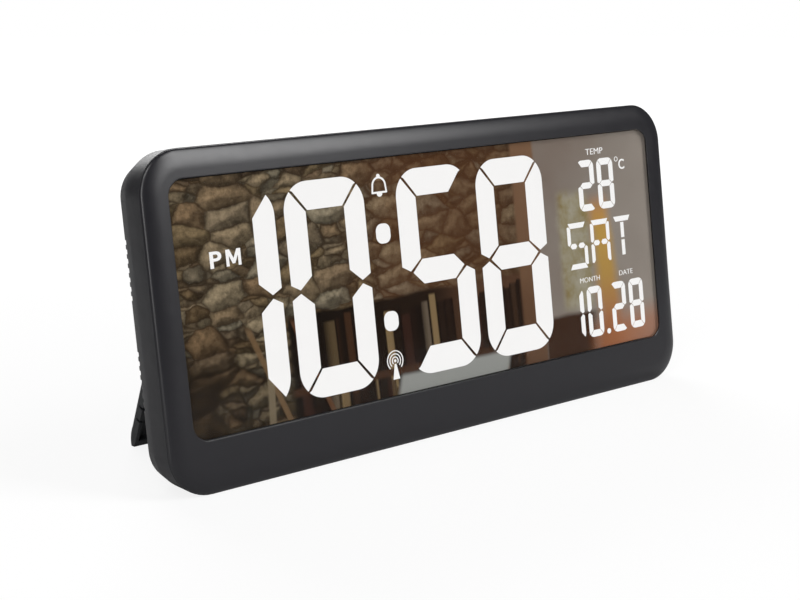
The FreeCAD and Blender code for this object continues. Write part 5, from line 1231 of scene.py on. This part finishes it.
class DAYCLOCK_OT_legs_and_keys(bpy.types.Operator):
    """Finish the legs, their pins, the push buttons, the slider and the inlet"""
    bl_idname = "dayclock.legs_and_keys"
    bl_label = "Legs and keys"

    def execute(self, context):
        _, colours = settings()
        legs = moulded_plastic("leg_plastic", colours.legs, rough=0.5, grain=0.2)
        for side in ("left", "right"):
            soft_edged(side + "_stand", side + "_leg", 0.3 * MM, legs, side + "_leg_body", "leg_plastic")
        keys = moulded_plastic("key_plastic", colours.keys, rough=0.4, grain=0.06)
        for name in sorted(frame["nodes"]):
            if name.endswith("_button"):
                soft_edged(name.replace("button", "key"), name, 0.2 * MM, keys, name + "_body", "key_plastic")
        give("brightness_slider", moulded_plastic("slider_plastic", grey(40), rough=0.42))
        give("leg_pins", satin_metal("pin_steel", grey(176)))
        give("power_inlet", satin_metal("inlet_steel", grey(196), 0.25))
        return {"FINISHED"}


class DAYCLOCK_OT_inner_parts(bpy.types.Operator):
    """Finish everything inside the case"""
    bl_idname = "dayclock.inner_parts"
    bl_label = "Inner parts"

    def execute(self, context):
        _, colours = settings()
        for material, *nodes in (
            (clear_sheet("panel_glass", shade(190, 205, 205), 0.35), "lcd_front_glass", "lcd_rear_glass"),
            (painted_sheet("polariser_sheet", grey(58), 0.25), "rear_polariser"),
            (painted_sheet("white_sheet", grey(236)), "diffuser_sheet", "reflector_sheet"),
            (clear_sheet("guide_acrylic", shade(222, 236, 240), 0.45), "light_guide"),
            (painted_sheet("strip_white", shade(232, 232, 226), 0.45), "led_strips"),
            (painted_sheet("led_phosphor", shade(240, 226, 130), 0.35), "backlight_leds"),
            (moulded_plastic("carrier_plastic", grey(218), 0.5, 0.08), "display_carrier"),
            (painted_sheet("contact_rubber", shade(206, 176, 186), 0.6), "zebra_strip"),
            (circuit_board("board_mask", colours.board), "main_board", "key_board", "receiver_board"),
            (moulded_plastic("chip_epoxy", grey(38), 0.6, 0.2), "display_driver", "clock_chip"),
            (satin_metal("crystal_can", grey(214), 0.22), "quartz_crystal"),
            (painted_sheet("capacitor_sleeve", shade(46, 52, 72), 0.35), "board_capacitors"),
            (moulded_plastic("switch_black", grey(46), 0.5), "tact_switches"),
            (satin_metal("switch_steel", grey(206), 0.28), "switch_housing"),
            (painted_sheet("ferrite_black", grey(62), 0.55, 0.15, 500.0), "ferrite_rod"),
            (moulded_plastic("sounder_black", grey(40), 0.45), "sound_disc"),
            (painted_sheet("sensor_bead", grey(36), 0.3), "temperature_sensor"),
            (cell_wrap("cell_wrap", shade(46, 56, 78)), "batteries"),
            (satin_metal("contact_nickel", shade(216, 214, 206), 0.25), "battery_plates", "battery_springs"),
        ):
            for node in nodes:
                give(node, material)
        return {"FINISHED"}


class DAYCLOCK_OT_studio(bpy.types.Operator):
    """Build the floor, the lamps, the world and the camera"""
    bl_idname = "dayclock.studio"
    bl_label = "Studio"

    def execute(self, context):
        _, colours = settings()
        make_camera()
        make_world()
        make_floor(colours.floor)
        make_lamps()
        return {"FINISHED"}


# ---- panel and running ----
OPERATORS = (
    DAYCLOCK_OT_studio, DAYCLOCK_OT_bezel, DAYCLOCK_OT_rear_cover, DAYCLOCK_OT_window,
    DAYCLOCK_OT_display, DAYCLOCK_OT_legs_and_keys, DAYCLOCK_OT_inner_parts, DAYCLOCK_OT_screws,
    DAYCLOCK_OT_winding,
)


class DAYCLOCK_PT_panel(bpy.types.Panel):
    """The clock's makers, in the order in which they are run"""
    bl_idname = "DAYCLOCK_PT_panel"
    bl_label = "Day clock"
    bl_space_type = "VIEW_3D"
    bl_region_type = "UI"
    bl_category = "Day clock"

    def draw(self, context):
        for operator in OPERATORS:
            self.layout.operator(operator.bl_idname)
        for group in settings():
            for key in group.__annotations__:
                self.layout.prop(group, key)


CLASSES = (DayClockSizes, DayClockColours, *OPERATORS, DAYCLOCK_PT_panel)


def register():
    """Adds the classes and the scene's settings."""
    for entry in CLASSES:
        bpy.utils.register_class(entry)
    bpy.types.Scene.day_clock_sizes = PointerProperty(type=DayClockSizes)
    bpy.types.Scene.day_clock_colours = PointerProperty(type=DayClockColours)


def unregister():
    """Takes them away again."""
    del bpy.types.Scene.day_clock_colours
    del bpy.types.Scene.day_clock_sizes
    for entry in reversed(CLASSES):
        bpy.utils.unregister_class(entry)


def main():
    """Runs every maker once."""
    register()
    bpy.context.scene.view_settings.view_transform = "Standard"
    for operator in OPERATORS:
        group, name = operator.bl_idname.split(".")
        getattr(getattr(bpy.ops, group), name)()


if __name__ == "__main__":
    main()
